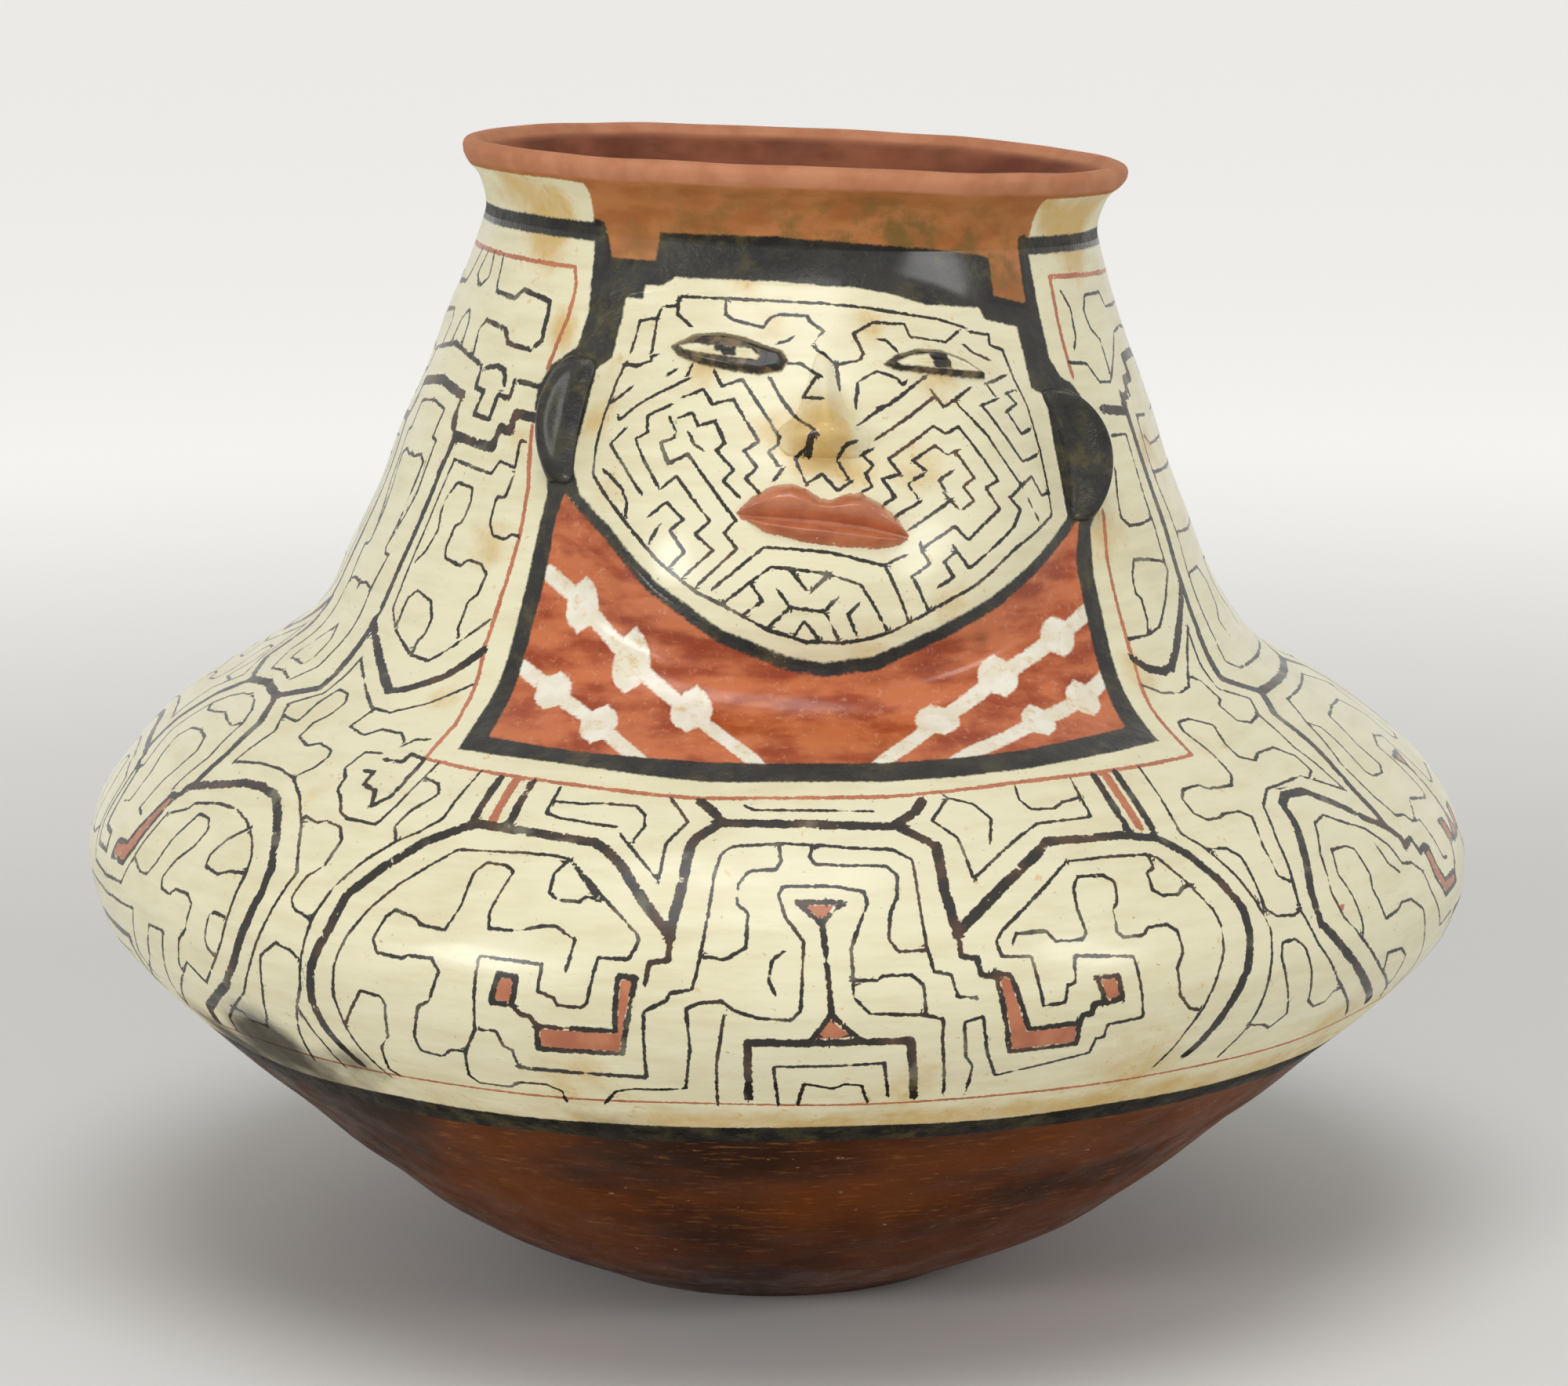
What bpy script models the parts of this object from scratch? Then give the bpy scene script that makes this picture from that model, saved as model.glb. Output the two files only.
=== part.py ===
# Coil-built effigy jar: turned clay courses with scarfed, luted joints, and a face
# modelled on the front of the neck. Metres, +Z up, the face looks along -Y.
import math

import bmesh
import bpy
from mathutils import Matrix, Vector

OBJECT_NAME = "figural_pot"

# Outer skin, from the table up: the radius at each station and its rise above the one below
BASE_RADIUS = 0.052
HEEL_RADIUS = 0.0885
HEEL_RISE = 0.018
FLANK_RADIUS = 0.129
FLANK_RISE = 0.032
KEEL_RADIUS = 0.173
KEEL_RISE = 0.040
BELLY_RADIUS = 0.180
BELLY_RISE = 0.018
TURN_RADIUS = 0.175
TURN_RISE = 0.0175
SHOULDER_RADIUS = 0.1565
SHOULDER_RISE = 0.0195
NECK_FOOT_RADIUS = 0.123
NECK_FOOT_RISE = 0.022
NECK_LOW_RADIUS = 0.1105
NECK_LOW_RISE = 0.020
NECK_MID_RADIUS = 0.0965
NECK_MID_RISE = 0.034
THROAT_RADIUS = 0.0782
THROAT_RISE = 0.050
FLARE_RADIUS = 0.0797
FLARE_RISE = 0.009
LIP_RADIUS = 0.0845
LIP_RISE = 0.0065

# Walls and joints
WALL = 0.0062
BASE_THICKNESS = 0.008
LIP_THICKNESS = 0.0048
SCARF_RUN = 0.005
LUTE_GAP = 0.0003
LEAN_DEGREES = 3.0

# Face: an egg sunk into the neck, its long axis laid along the neck's slope
FACE_CENTRE_RISE = 0.041
FACE_HALF_WIDTH = 0.0605
FOREHEAD_REACH = 0.080
CHIN_REACH = 0.054
FACE_DEPTH = 0.040
FACE_PROUD = 0.012

# Features: half sizes, and places on the face measured up its slope from the egg's centre
NOSE_UP = 0.020
NOSE_HALF_WIDTH = 0.0085
NOSE_BRIDGE_HALF_WIDTH = 0.0045
NOSE_BRIDGE_LENGTH = 0.0200
NOSE_TIP_LENGTH = 0.0068
NOSE_PROUD = 0.0085
NOSE_TILT_DEGREES = 16.0
MOUTH_UP = -0.0010
MOUTH_HALF_WIDTH = 0.0205
UPPER_LIP_RISE = 0.0050
UPPER_LIP_DROP = 0.0030
UPPER_LIP_SWELL = 0.0127
LOWER_LIP_HALF_WIDTH = 0.0185
LOWER_LIP_HALF_HEIGHT = 0.0038
LIP_PROUD = 0.0042
MOUTH_LINE = 0.0006
EYE_UP = 0.0395
EYE_SPREAD = 0.0250
EYE_HALF_WIDTH = 0.0135
EYE_HALF_HEIGHT = 0.0050
EYE_PROUD = 0.0022
EAR_AROUND_DEGREES = 42.0
EAR_UP = 0.018
EAR_HALF_HEIGHT = 0.0175
EAR_HALF_WIDTH = 0.0070
EAR_PROUD = 0.0085

# Fineness of the facets
RING_STEPS = 48
SKIN_STEPS = 3
LIP_ARC_STEPS = 5
EGG_SEGMENTS = 28
FEATURE_SEGMENTS = 16
LEAN_LEVELS = 8

STATION_NAMES = ("base", "heel", "flank", "keel", "belly", "turn", "shoulder", "neck_foot",
                 "neck_low", "neck_mid", "throat", "flare", "lip")
STATION_RADII = (BASE_RADIUS, HEEL_RADIUS, FLANK_RADIUS, KEEL_RADIUS, BELLY_RADIUS, TURN_RADIUS,
                 SHOULDER_RADIUS, NECK_FOOT_RADIUS, NECK_LOW_RADIUS, NECK_MID_RADIUS,
                 THROAT_RADIUS, FLARE_RADIUS, LIP_RADIUS)
STATION_RISES = (0.0, HEEL_RISE, FLANK_RISE, KEEL_RISE, BELLY_RISE, TURN_RISE, SHOULDER_RISE,
                 NECK_FOOT_RISE, NECK_LOW_RISE, NECK_MID_RISE, THROAT_RISE, FLARE_RISE, LIP_RISE)
STATION = {name: index for index, name in enumerate(STATION_NAMES)}

# Colour, roughness of each clay surface
CREAM = (0.80, 0.74, 0.58), 0.42
RED_BROWN = (0.20, 0.055, 0.018), 0.30
TERRACOTTA = (0.50, 0.20, 0.10), 0.65
BLACK = (0.025, 0.022, 0.018), 0.45
RED = (0.56, 0.17, 0.09), 0.50


def clear_scene():
    for old in list(bpy.data.objects):
        bpy.data.objects.remove(old, do_unlink=True)


def add_collection(name):
    collection = bpy.data.collections.new(name)
    bpy.context.scene.collection.children.link(collection)
    return collection


def slip_material(name, finish):
    colour, roughness = finish
    material = bpy.data.materials.new(name)
    material.use_nodes = True
    shader = material.node_tree.nodes["Principled BSDF"]
    shader.inputs["Base Color"].default_value = (*colour, 1.0)
    shader.inputs["Roughness"].default_value = roughness
    shader.inputs["Metallic"].default_value = 0.0
    return material


def stations():
    points = []
    height = 0.0
    for radius, rise in zip(STATION_RADII, STATION_RISES):
        height += rise
        points.append(Vector((radius, height)))
    return points


def skin_tangents(points):
    # Each station's tangent follows the chord between its neighbours
    tangents = []
    last = len(points) - 1
    for index in range(len(points)):
        below = points[max(index - 1, 0)]
        above = points[min(index + 1, last)]
        tangents.append((above - below).normalized())
    return tangents


SKIN = stations()
TANGENTS = skin_tangents(SKIN)
HEIGHT = SKIN[-1].y


def skin_at(place):
    # Point and upward direction on the outer skin; place counts stations from the base
    index = min(int(place), len(SKIN) - 2)
    share = place - index
    low = SKIN[index]
    high = SKIN[index + 1]
    span = (high - low).length
    low_pull = TANGENTS[index] * span
    high_pull = TANGENTS[index + 1] * span
    square = share * share
    cube = square * share
    point = (low * (2 * cube - 3 * square + 1) + low_pull * (cube - 2 * square + share)
             + high * (3 * square - 2 * cube) + high_pull * (cube - square))
    slope = (low * (6 * square - 6 * share) + low_pull * (3 * square - 4 * share + 1)
             + high * (6 * share - 6 * square) + high_pull * (3 * square - 2 * share))
    return point, slope.normalized()


def skin_at_height(height):
    # The skin's height grows all the way up, so halving finds the place
    low = 0.0
    high = float(len(SKIN) - 1)
    for _ in range(40):
        middle = 0.5 * (low + high)
        if skin_at(middle)[0].y < height:
            low = middle
        else:
            high = middle
    return skin_at(low)


def inward(up):
    return Vector((-up.y, up.x))


def course_places(first, last):
    start = STATION[first]
    count = (STATION[last] - start) * SKIN_STEPS
    return [start + step / SKIN_STEPS for step in range(count + 1)]


def joint_shift(index, count):
    # Half the lute gap, measured along the wall, at the two ends of a course
    half = 0.5 * LUTE_GAP * math.hypot(WALL, SCARF_RUN) / WALL
    if index == 0:
        return half
    if index == count - 1:
        return -half
    return 0.0


def wall_profile(first, last):
    places = course_places(first, last)
    outer = []
    inner = []
    for index, place in enumerate(places):
        point, up = skin_at(place)
        edge = point + up * joint_shift(index, len(places))
        outer.append(edge)
        inner.append(edge + inward(up) * WALL - up * SCARF_RUN)
    return outer[::-1] + inner


def base_profile():
    places = course_places("base", "heel")
    outer = []
    inner = []
    for index, place in enumerate(places):
        point, up = skin_at(place)
        shift = joint_shift(index, len(places)) if index else 0.0
        edge = point + up * shift
        outer.append(edge)
        inner.append(edge + inward(up) * WALL - up * SCARF_RUN)
    floor = [point for point in inner if point.y > BASE_THICKNESS]
    return [Vector((0.0, BASE_THICKNESS))] + floor + outer[::-1] + [Vector((0.0, 0.0))]


def rim_profile():
    places = course_places("throat", "lip")
    outer = []
    inner = []
    for index, place in enumerate(places):
        point, up = skin_at(place)
        share = index / (len(places) - 1)
        thickness = WALL + (LIP_THICKNESS - WALL) * share
        shift = joint_shift(index, len(places)) if index == 0 else 0.0
        edge = point + up * shift
        outer.append(edge)
        inner.append(edge + inward(up) * thickness - up * SCARF_RUN * (1.0 - share))
    # The lip is a half round from the outer edge over to the inner one
    centre = 0.5 * (outer[-1] + inner[-1])
    spoke = outer[-1] - centre
    lip = []
    for step in range(1, LIP_ARC_STEPS):
        turn = Matrix.Rotation(math.pi * step / LIP_ARC_STEPS, 2)
        lip.append(centre + turn @ spoke)
    return outer[::-1] + inner + lip[::-1]


def seat_profile():
    # The outer skin grown by the lute gap, straight on past the throat and closed at the axis
    grown = []
    for place in course_places("keel", "throat"):
        point, up = skin_at(place)
        grown.append(point - inward(up) * LUTE_GAP)
    foot = Vector((0.0, grown[0].y))
    brow = Vector((grown[-1].x, HEIGHT + FOREHEAD_REACH))
    head = Vector((0.0, brow.y))
    return [head, brow] + grown[::-1] + [foot]


def turned(name, profile, closed, collection):
    form = bmesh.new()
    corners = [form.verts.new((point.x, 0.0, point.y)) for point in profile]
    for start, end in zip(corners, corners[1:]):
        form.edges.new((start, end))
    if closed:
        form.edges.new((corners[-1], corners[0]))
    mesh = bpy.data.meshes.new(name)
    form.to_mesh(mesh)
    form.free()
    ring = bpy.data.objects.new(name, mesh)
    collection.objects.link(ring)
    screw = ring.modifiers.new("turn", "SCREW")
    screw.axis = "Z"
    screw.angle = math.tau
    screw.steps = RING_STEPS
    screw.render_steps = RING_STEPS
    screw.use_merge_vertices = True
    screw.merge_threshold = 0.00001
    screw.use_smooth_shade = True
    return ring


def ball(name, segments, collection):
    form = bmesh.new()
    bmesh.ops.create_uvsphere(form, u_segments=segments, v_segments=segments // 2, radius=1.0)
    mesh = bpy.data.meshes.new(name)
    form.to_mesh(mesh)
    form.free()
    mesh.shade_smooth()
    sphere = bpy.data.objects.new(name, mesh)
    collection.objects.link(sphere)
    return sphere


def stretch(sphere, half_width, half_depth, reach_up, reach_down):
    for vertex in sphere.data.vertices:
        reach = reach_up if vertex.co.z > 0.0 else reach_down
        vertex.co.x *= half_width
        vertex.co.y *= half_depth
        vertex.co.z *= reach


def make_cutter(guide):
    guide.hide_render = True
    guide.display_type = "WIRE"


def cut(target, cutter, operation="DIFFERENCE"):
    boolean = target.modifiers.new("seat on " + cutter.name, "BOOLEAN")
    boolean.operation = operation
    boolean.solver = "EXACT"
    boolean.object = cutter


def face_frame():
    # Local x runs across the face, y into the clay and z up the neck's slope
    middle = SKIN[STATION["neck_foot"]].y + FACE_CENTRE_RISE
    point, up = skin_at_height(middle)
    across = Vector((1.0, 0.0, 0.0))
    rise = Vector((0.0, -up.x, up.y))
    into = rise.cross(across)
    place = Vector((0.0, -point.x, point.y)) + into * (FACE_DEPTH - FACE_PROUD)
    frame = Matrix((across, into, rise)).transposed().to_4x4()
    frame.translation = place
    return frame


def egg_depth(across, up):
    # How far in front of the egg's centre its surface lies, at a place on the face
    reach = FOREHEAD_REACH if up > 0.0 else CHIN_REACH
    return FACE_DEPTH * math.sqrt(max(0.0, 1.0 - (across / FACE_HALF_WIDTH) ** 2 - (up / reach) ** 2))


def face_place(across, up):
    # The point on the egg's surface, turned to face along its normal there
    reach = FOREHEAD_REACH if up > 0.0 else CHIN_REACH
    depth = egg_depth(across, up)
    outward = Vector((across / FACE_HALF_WIDTH ** 2, -depth / FACE_DEPTH ** 2, up / reach ** 2))
    into = -outward.normalized()
    rise = Vector((0.0, 0.0, 1.0))
    side = into.cross(rise).normalized()
    rise = side.cross(into)
    local = Matrix((side, into, rise)).transposed().to_4x4()
    local.translation = Vector((across, -depth, up))
    return face_frame() @ local


def egg(name, growth, collection):
    sphere = ball(name, EGG_SEGMENTS, collection)
    stretch(sphere, FACE_HALF_WIDTH + growth, FACE_DEPTH + growth,
            FOREHEAD_REACH + growth, CHIN_REACH + growth)
    sphere.matrix_world = face_frame()
    return sphere


def add_walls(parts):
    turned("base_disc", base_profile(), False, parts)
    for name, first, last in (("lower_wall", "heel", "keel"), ("belly_wall", "keel", "turn"),
                              ("shoulder_wall", "turn", "neck_foot"),
                              ("neck_wall", "neck_foot", "throat")):
        turned(name, wall_profile(first, last), True, parts)
    turned("rim_coil", rim_profile(), True, parts)


def add_nose(parts, face_seat):
    nose = ball("nose", FEATURE_SEGMENTS, parts)
    # Long bridge above that narrows, short rounded tip below
    narrowing = 1.0 - NOSE_BRIDGE_HALF_WIDTH / NOSE_HALF_WIDTH
    for vertex in nose.data.vertices:
        vertex.co.x *= 1.0 - narrowing * max(0.0, vertex.co.z)
    stretch(nose, NOSE_HALF_WIDTH, NOSE_PROUD, NOSE_BRIDGE_LENGTH, NOSE_TIP_LENGTH)
    tip_forward = Matrix.Rotation(math.radians(NOSE_TILT_DEGREES), 4, "X")
    nose.matrix_world = face_place(0.0, NOSE_UP) @ tip_forward
    cut(nose, face_seat)


def add_lips(parts, face_seat):
    lower = ball("lower_lip", FEATURE_SEGMENTS, parts)
    stretch(lower, LOWER_LIP_HALF_WIDTH, LIP_PROUD, LOWER_LIP_HALF_HEIGHT, LOWER_LIP_HALF_HEIGHT)
    lower.matrix_world = face_place(0.0, MOUTH_UP - LOWER_LIP_HALF_HEIGHT - 0.5 * MOUTH_LINE)
    cut(lower, face_seat)
    # Two mirrored swells meet in a dip at the middle of the upper lip
    upper = ball("upper_lip", FEATURE_SEGMENTS, parts)
    stretch(upper, UPPER_LIP_SWELL, LIP_PROUD, UPPER_LIP_RISE, UPPER_LIP_DROP)
    for vertex in upper.data.vertices:
        vertex.co.x += MOUTH_HALF_WIDTH - UPPER_LIP_SWELL
    mirror = upper.modifiers.new("other half", "MIRROR")
    mirror.use_bisect_axis[0] = True
    mirror.merge_threshold = 0.00001
    upper.matrix_world = face_place(0.0, MOUTH_UP + UPPER_LIP_DROP + 0.5 * MOUTH_LINE)
    cut(upper, face_seat)


def add_eyes(parts, cutters, face_seat):
    # Two balls of one size, one above the other, share an almond
    big = (EYE_HALF_WIDTH ** 2 + EYE_HALF_HEIGHT ** 2) / (2.0 * EYE_HALF_HEIGHT)
    for name, side in (("left_eye", -1.0), ("right_eye", 1.0)):
        place = face_place(side * EYE_SPREAD, EYE_UP)
        lid = ball(name, EGG_SEGMENTS, parts)
        stretch(lid, big, EYE_PROUD * big / EYE_HALF_HEIGHT, big, big)
        lid.matrix_world = place @ Matrix.Translation((0.0, 0.0, EYE_HALF_HEIGHT - big))
        other = ball(name + "_almond", EGG_SEGMENTS, cutters)
        stretch(other, big, EYE_PROUD * big / EYE_HALF_HEIGHT, big, big)
        other.matrix_world = place @ Matrix.Translation((0.0, 0.0, big - EYE_HALF_HEIGHT))
        make_cutter(other)
        cut(lid, other, "INTERSECT")
        cut(lid, face_seat)


def add_ears(parts, neck_seat, face_seat):
    middle = SKIN[STATION["neck_foot"]].y + FACE_CENTRE_RISE + EAR_UP
    point, up = skin_at_height(middle)
    slope = math.atan2(-up.x, up.y)
    for name, side in (("left_ear", -1.0), ("right_ear", 1.0)):
        ear = ball(name, FEATURE_SEGMENTS, parts)
        stretch(ear, EAR_HALF_WIDTH, EAR_PROUD, EAR_HALF_HEIGHT, EAR_HALF_HEIGHT)
        around = Matrix.Rotation(side * math.radians(EAR_AROUND_DEGREES), 4, "Z")
        seat = Matrix.Translation((0.0, -point.x, point.y))
        ear.matrix_world = around @ seat @ Matrix.Rotation(-slope, 4, "X")
        cut(ear, neck_seat)
        cut(ear, face_seat)


def add_face(parts, cutters):
    neck_seat = turned("neck_seat", seat_profile(), False, cutters)
    make_cutter(neck_seat)
    face_seat = egg("face_seat", LUTE_GAP, cutters)
    make_cutter(face_seat)
    face = egg("face_slab", 0.0, parts)
    cut(face, neck_seat)
    add_nose(parts, face_seat)
    add_lips(parts, face_seat)
    add_eyes(parts, cutters, face_seat)
    add_ears(parts, neck_seat, face_seat)


def add_lean(parts, cutters):
    # The pot bends a little to +X as it rises; the belly stays over the origin
    frame = bpy.data.lattices.new("lean_cage")
    frame.points_u = 2
    frame.points_v = 2
    frame.points_w = LEAN_LEVELS
    for axis in ("u", "v", "w"):
        setattr(frame, "interpolation_type_" + axis, "KEY_LINEAR")
    cage = bpy.data.objects.new("lean_cage", frame)
    cutters.objects.link(cage)
    top = HEIGHT + WALL
    level = top / (LEAN_LEVELS - 1)
    width = 2.0 * max(STATION_RADII)
    cage.location = (0.0, 0.0, 0.5 * top)
    cage.scale = (width, width, level)
    bend = math.radians(LEAN_DEGREES) / top
    belly_height = SKIN[STATION["belly"]].y
    for corner in frame.points:
        height = corner.co.z * level + 0.5 * top
        across = corner.co.x * width
        shift = 0.5 * bend * (height ** 2 - belly_height ** 2)
        sink = across * bend * height
        corner.co_deform = corner.co + Vector((shift / width, 0.0, -sink / level))
    for piece in parts.objects:
        piece.modifiers.new("lean", "LATTICE").object = cage


def paint(parts):
    finishes = {
        "base_disc": RED_BROWN, "lower_wall": RED_BROWN, "belly_wall": CREAM, "shoulder_wall": CREAM,
        "neck_wall": CREAM, "rim_coil": TERRACOTTA, "face_slab": CREAM, "left_ear": BLACK,
        "right_ear": BLACK, "nose": CREAM, "upper_lip": RED, "lower_lip": RED, "left_eye": BLACK,
        "right_eye": BLACK,
    }
    for name, finish in finishes.items():
        parts.objects[name].data.materials.append(slip_material(name, finish))


def main():
    clear_scene()
    parts = add_collection(OBJECT_NAME)
    cutters = add_collection(OBJECT_NAME + "_cutters")
    add_walls(parts)
    add_face(parts, cutters)
    add_lean(parts, cutters)
    paint(parts)


main()
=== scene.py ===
import math

import bmesh
import bpy
import numpy as np
from mathutils import Matrix, Vector


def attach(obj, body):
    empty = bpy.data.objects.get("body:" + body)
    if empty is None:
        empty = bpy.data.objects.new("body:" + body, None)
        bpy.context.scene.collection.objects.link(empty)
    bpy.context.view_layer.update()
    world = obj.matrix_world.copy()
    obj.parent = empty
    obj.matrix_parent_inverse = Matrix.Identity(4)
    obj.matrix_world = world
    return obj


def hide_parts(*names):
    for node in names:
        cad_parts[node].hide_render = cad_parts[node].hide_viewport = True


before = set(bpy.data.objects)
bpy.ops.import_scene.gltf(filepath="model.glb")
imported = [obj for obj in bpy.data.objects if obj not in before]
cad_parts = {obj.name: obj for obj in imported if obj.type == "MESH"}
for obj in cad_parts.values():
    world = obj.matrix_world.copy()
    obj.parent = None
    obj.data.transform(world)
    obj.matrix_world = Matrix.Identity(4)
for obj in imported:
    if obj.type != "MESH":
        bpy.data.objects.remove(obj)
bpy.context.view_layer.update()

print("frame loaded with", len(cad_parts), "nodes")

# The jar's outer skin, as turned: radius at each station and rise from the one below, in metres
potSkin = {
    "stations": ["base", "heel", "flank", "keel", "belly", "turn", "shoulder", "neckFoot", "neckLow",
                 "neckMid", "throat", "flare", "lip"],
    "radii": [0.052, 0.0885, 0.129, 0.173, 0.180, 0.175, 0.1565, 0.123, 0.1105,
              0.0965, 0.0782, 0.0797, 0.0845],
    "rises": [0.0, 0.018, 0.032, 0.040, 0.018, 0.0175, 0.0195, 0.022, 0.020, 0.034, 0.050, 0.009, 0.0065],
    "wall": 0.0062,
    "floor": 0.008,
    "lip": 0.0048,
    "leanDegrees": 3.0,
    "lipRoll": {"proud": 0.0005, "below": 2.2, "spread": 2.6},      # metres, then mm of climb
    "wobble": 0.00045,              # how far the hand-built wall wanders from round
    "wobbleFrom": (15, 60),         # mm of climb over which it sets in
}
# Slow waves of the wall: share, waves round the jar, phase, change with each mm of climb
handWaves = [(1.0, 2, 0.6, 0.011), (0.7, 3, -1.1, -0.017), (0.5, 5, 2.0, 0.023), (0.3, 11, 0.0, 0.09),
             (0.25, 17, 0.0, -0.21)]
coilRidges = {"share": 0.45, "perMm": 0.19, "spiral": 1.5}

skinPoints = np.stack([potSkin["radii"], np.cumsum(potSkin["rises"])], axis=-1)
skinLast = len(skinPoints) - 1
skinOrder = np.arange(skinLast + 1)
skinPulls = skinPoints[np.minimum(skinOrder + 1, skinLast)] - skinPoints[np.maximum(skinOrder - 1, 0)]
skinPulls /= np.linalg.norm(skinPulls, axis=-1)[:, None]


def skinAt(place):
    # point (radius, height) and upward direction, place counted in stations
    index = np.minimum(place.astype(int), skinLast - 1)
    share = (place - index)[..., None]
    low, high = skinPoints[index], skinPoints[index + 1]
    gap = np.linalg.norm(high - low, axis=-1)[..., None]
    lowPull, highPull = skinPulls[index] * gap, skinPulls[index + 1] * gap
    square, cube = share ** 2, share ** 3
    point = (low * (2 * cube - 3 * square + 1) + lowPull * (cube - 2 * square + share)
             + high * (3 * square - 2 * cube) + highPull * (cube - square))
    slope = (low * (6 * square - 6 * share) + lowPull * (3 * square - 4 * share + 1)
             + high * (6 * share - 6 * square) + highPull * (3 * square - 2 * share))
    return point, slope / np.linalg.norm(slope, axis=-1)[..., None]


# Paint is laid out on the unrolled skin: degrees round from the face, millimetres up from the foot
placeTable = np.linspace(0, skinLast, 6001)
pointTable = skinAt(placeTable)[0]
stepTable = np.linalg.norm(np.diff(pointTable, axis=0), axis=1)
climbTable = np.concatenate([[0.0], np.cumsum(stepTable)]) * 1000
climbOf = {name: float(np.interp(i, placeTable, climbTable)) for i, name in enumerate(potSkin["stations"])}
heightOf = {name: float(skinPoints[i, 1]) for i, name in enumerate(potSkin["stations"])}


def skinAtClimb(climb):
    return skinAt(np.interp(climb, climbTable, placeTable))


def radiusMm(climb):
    return skinAtClimb(climb)[0][..., 0] * 1000


def smoothStep(low, high, value):
    share = np.clip((value - low) / (high - low), 0.0, 1.0)
    return share * share * (3 - 2 * share)


# The face swells out of the neck as an egg laid along its slope
faceEgg = {"centreRise": 0.041, "halfWidth": 0.0605, "forehead": 0.080, "chin": 0.054, "depth": 0.040,
           "proud": 0.012, "fillet": 0.006, "within": 1.2, "missed": -0.05, "blend": (-0.001, 0.005)}
chinPlan = {"push": 0.0024, "climb": 284.0, "spread": 15.0}
throatPlan = {"dip": 0.0026, "climb": 258.0, "bow": 0.022, "spread": 9.0, "halfTurn": 24.0}


def eggPlace():
    middle = heightOf["neckFoot"] + faceEgg["centreRise"]
    point, up = skinAt(np.interp(middle, pointTable[:, 1], placeTable))
    rise = np.array([0.0, -up[0], up[1]])
    across = np.array([1.0, 0.0, 0.0])
    into = np.cross(rise, across)
    centre = np.array([0.0, -point[0], point[1]]) + into * (faceEgg["depth"] - faceEgg["proud"])
    return centre, np.stack([across, into, rise], axis=-1)


eggCentre, eggAxes = eggPlace()


def eggHeight(points, normals):
    # distance along each normal out to the egg, or a little below the skin where it is missed
    best = np.full(len(points), faceEgg["missed"])
    local = (points - eggCentre) @ eggAxes
    along = normals @ eggAxes
    for reach, half in ((faceEgg["forehead"], 1), (faceEgg["chin"], -1)):
        scale = np.array([faceEgg["halfWidth"], faceEgg["depth"], reach])
        start, step = local / scale, along / scale
        a, b, c = (step ** 2).sum(-1), 2 * (start * step).sum(-1), (start ** 2).sum(-1) - 1
        inside = b * b - 4 * a * c
        t = (-b + np.sqrt(np.maximum(inside, 0))) / (2 * a)
        rightHalf = (start[:, 2] + step[:, 2] * t) * half >= 0
        best = np.where((inside > 0) & rightHalf, np.maximum(best, t), best)
    return best


def handWobble(theta, climb):
    # slow waves left by building up and scraping the coils by hand
    waves = coilRidges["share"] * np.sin(climb * coilRidges["perMm"] + coilRidges["spiral"] * np.sin(theta))
    for share, count, phase, twist in handWaves:
        waves = waves + share * np.sin(count * theta + phase + climb * twist)
    return potSkin["wobble"] * waves * smoothStep(*potSkin["wobbleFrom"], climb)


def leanOver(points):
    top = heightOf["lip"] + potSkin["wall"]
    bend = math.radians(potSkin["leanDegrees"]) / top
    leaned = points.copy()
    leaned[:, 0] = points[:, 0] + 0.5 * bend * (points[:, 2] ** 2 - heightOf["belly"] ** 2)
    leaned[:, 2] = points[:, 2] - points[:, 0] * bend * points[:, 2]
    return leaned


def skinDirections(theta, climb):
    point, up = skinAtClimb(climb)
    sine, cosine = np.sin(theta), np.cos(theta)
    points = np.stack([point[:, 0] * sine, -point[:, 0] * cosine, point[:, 1]], axis=-1)
    normals = np.stack([up[:, 1] * sine, -up[:, 1] * cosine, -up[:, 0]], axis=-1)
    return points, normals


def faceSwell(points, normals, theta, climb):
    height = np.where(np.abs(theta) < faceEgg["within"], eggHeight(points, normals), faceEgg["missed"])
    fillet = faceEgg["fillet"]
    near = np.maximum(fillet - np.abs(height), 0) / fillet
    swell = np.maximum(height, 0) + near * near * fillet / 4
    onEgg = smoothStep(*faceEgg["blend"], height)
    degrees = np.degrees(theta)
    across, slope = degrees / chinPlan["spread"], (climb - chinPlan["climb"]) / chinPlan["spread"]
    chin = chinPlan["push"] * np.exp(-across ** 2 - slope ** 2) * onEgg
    rim = (climb - throatPlan["climb"] - throatPlan["bow"] * degrees ** 2) / throatPlan["spread"]
    hollow = throatPlan["dip"] * np.exp(-rim ** 2 - (degrees / throatPlan["halfTurn"]) ** 4) * (1 - onEgg)
    return swell + chin - hollow


def onSkin(theta, climb, lift):
    # place on the finished jar: lift is metres above (or below) its outer skin
    points, normals = skinDirections(theta, climb)
    total = faceSwell(points, normals, theta, climb) + handWobble(theta, climb) + lift
    return leanOver(points + normals * total[:, None])


# Brush widths in mm. A red fill stops a little inside its outline.
brush = {"fine": 0.82, "firm": 1.4, "stout": 2.1, "broad": 2.6, "chin": 2.9, "cord": 3.9,
         "redFine": 0.8, "redLine": 1.25, "redFirm": 2.4, "redFill": -1.1}

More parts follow.
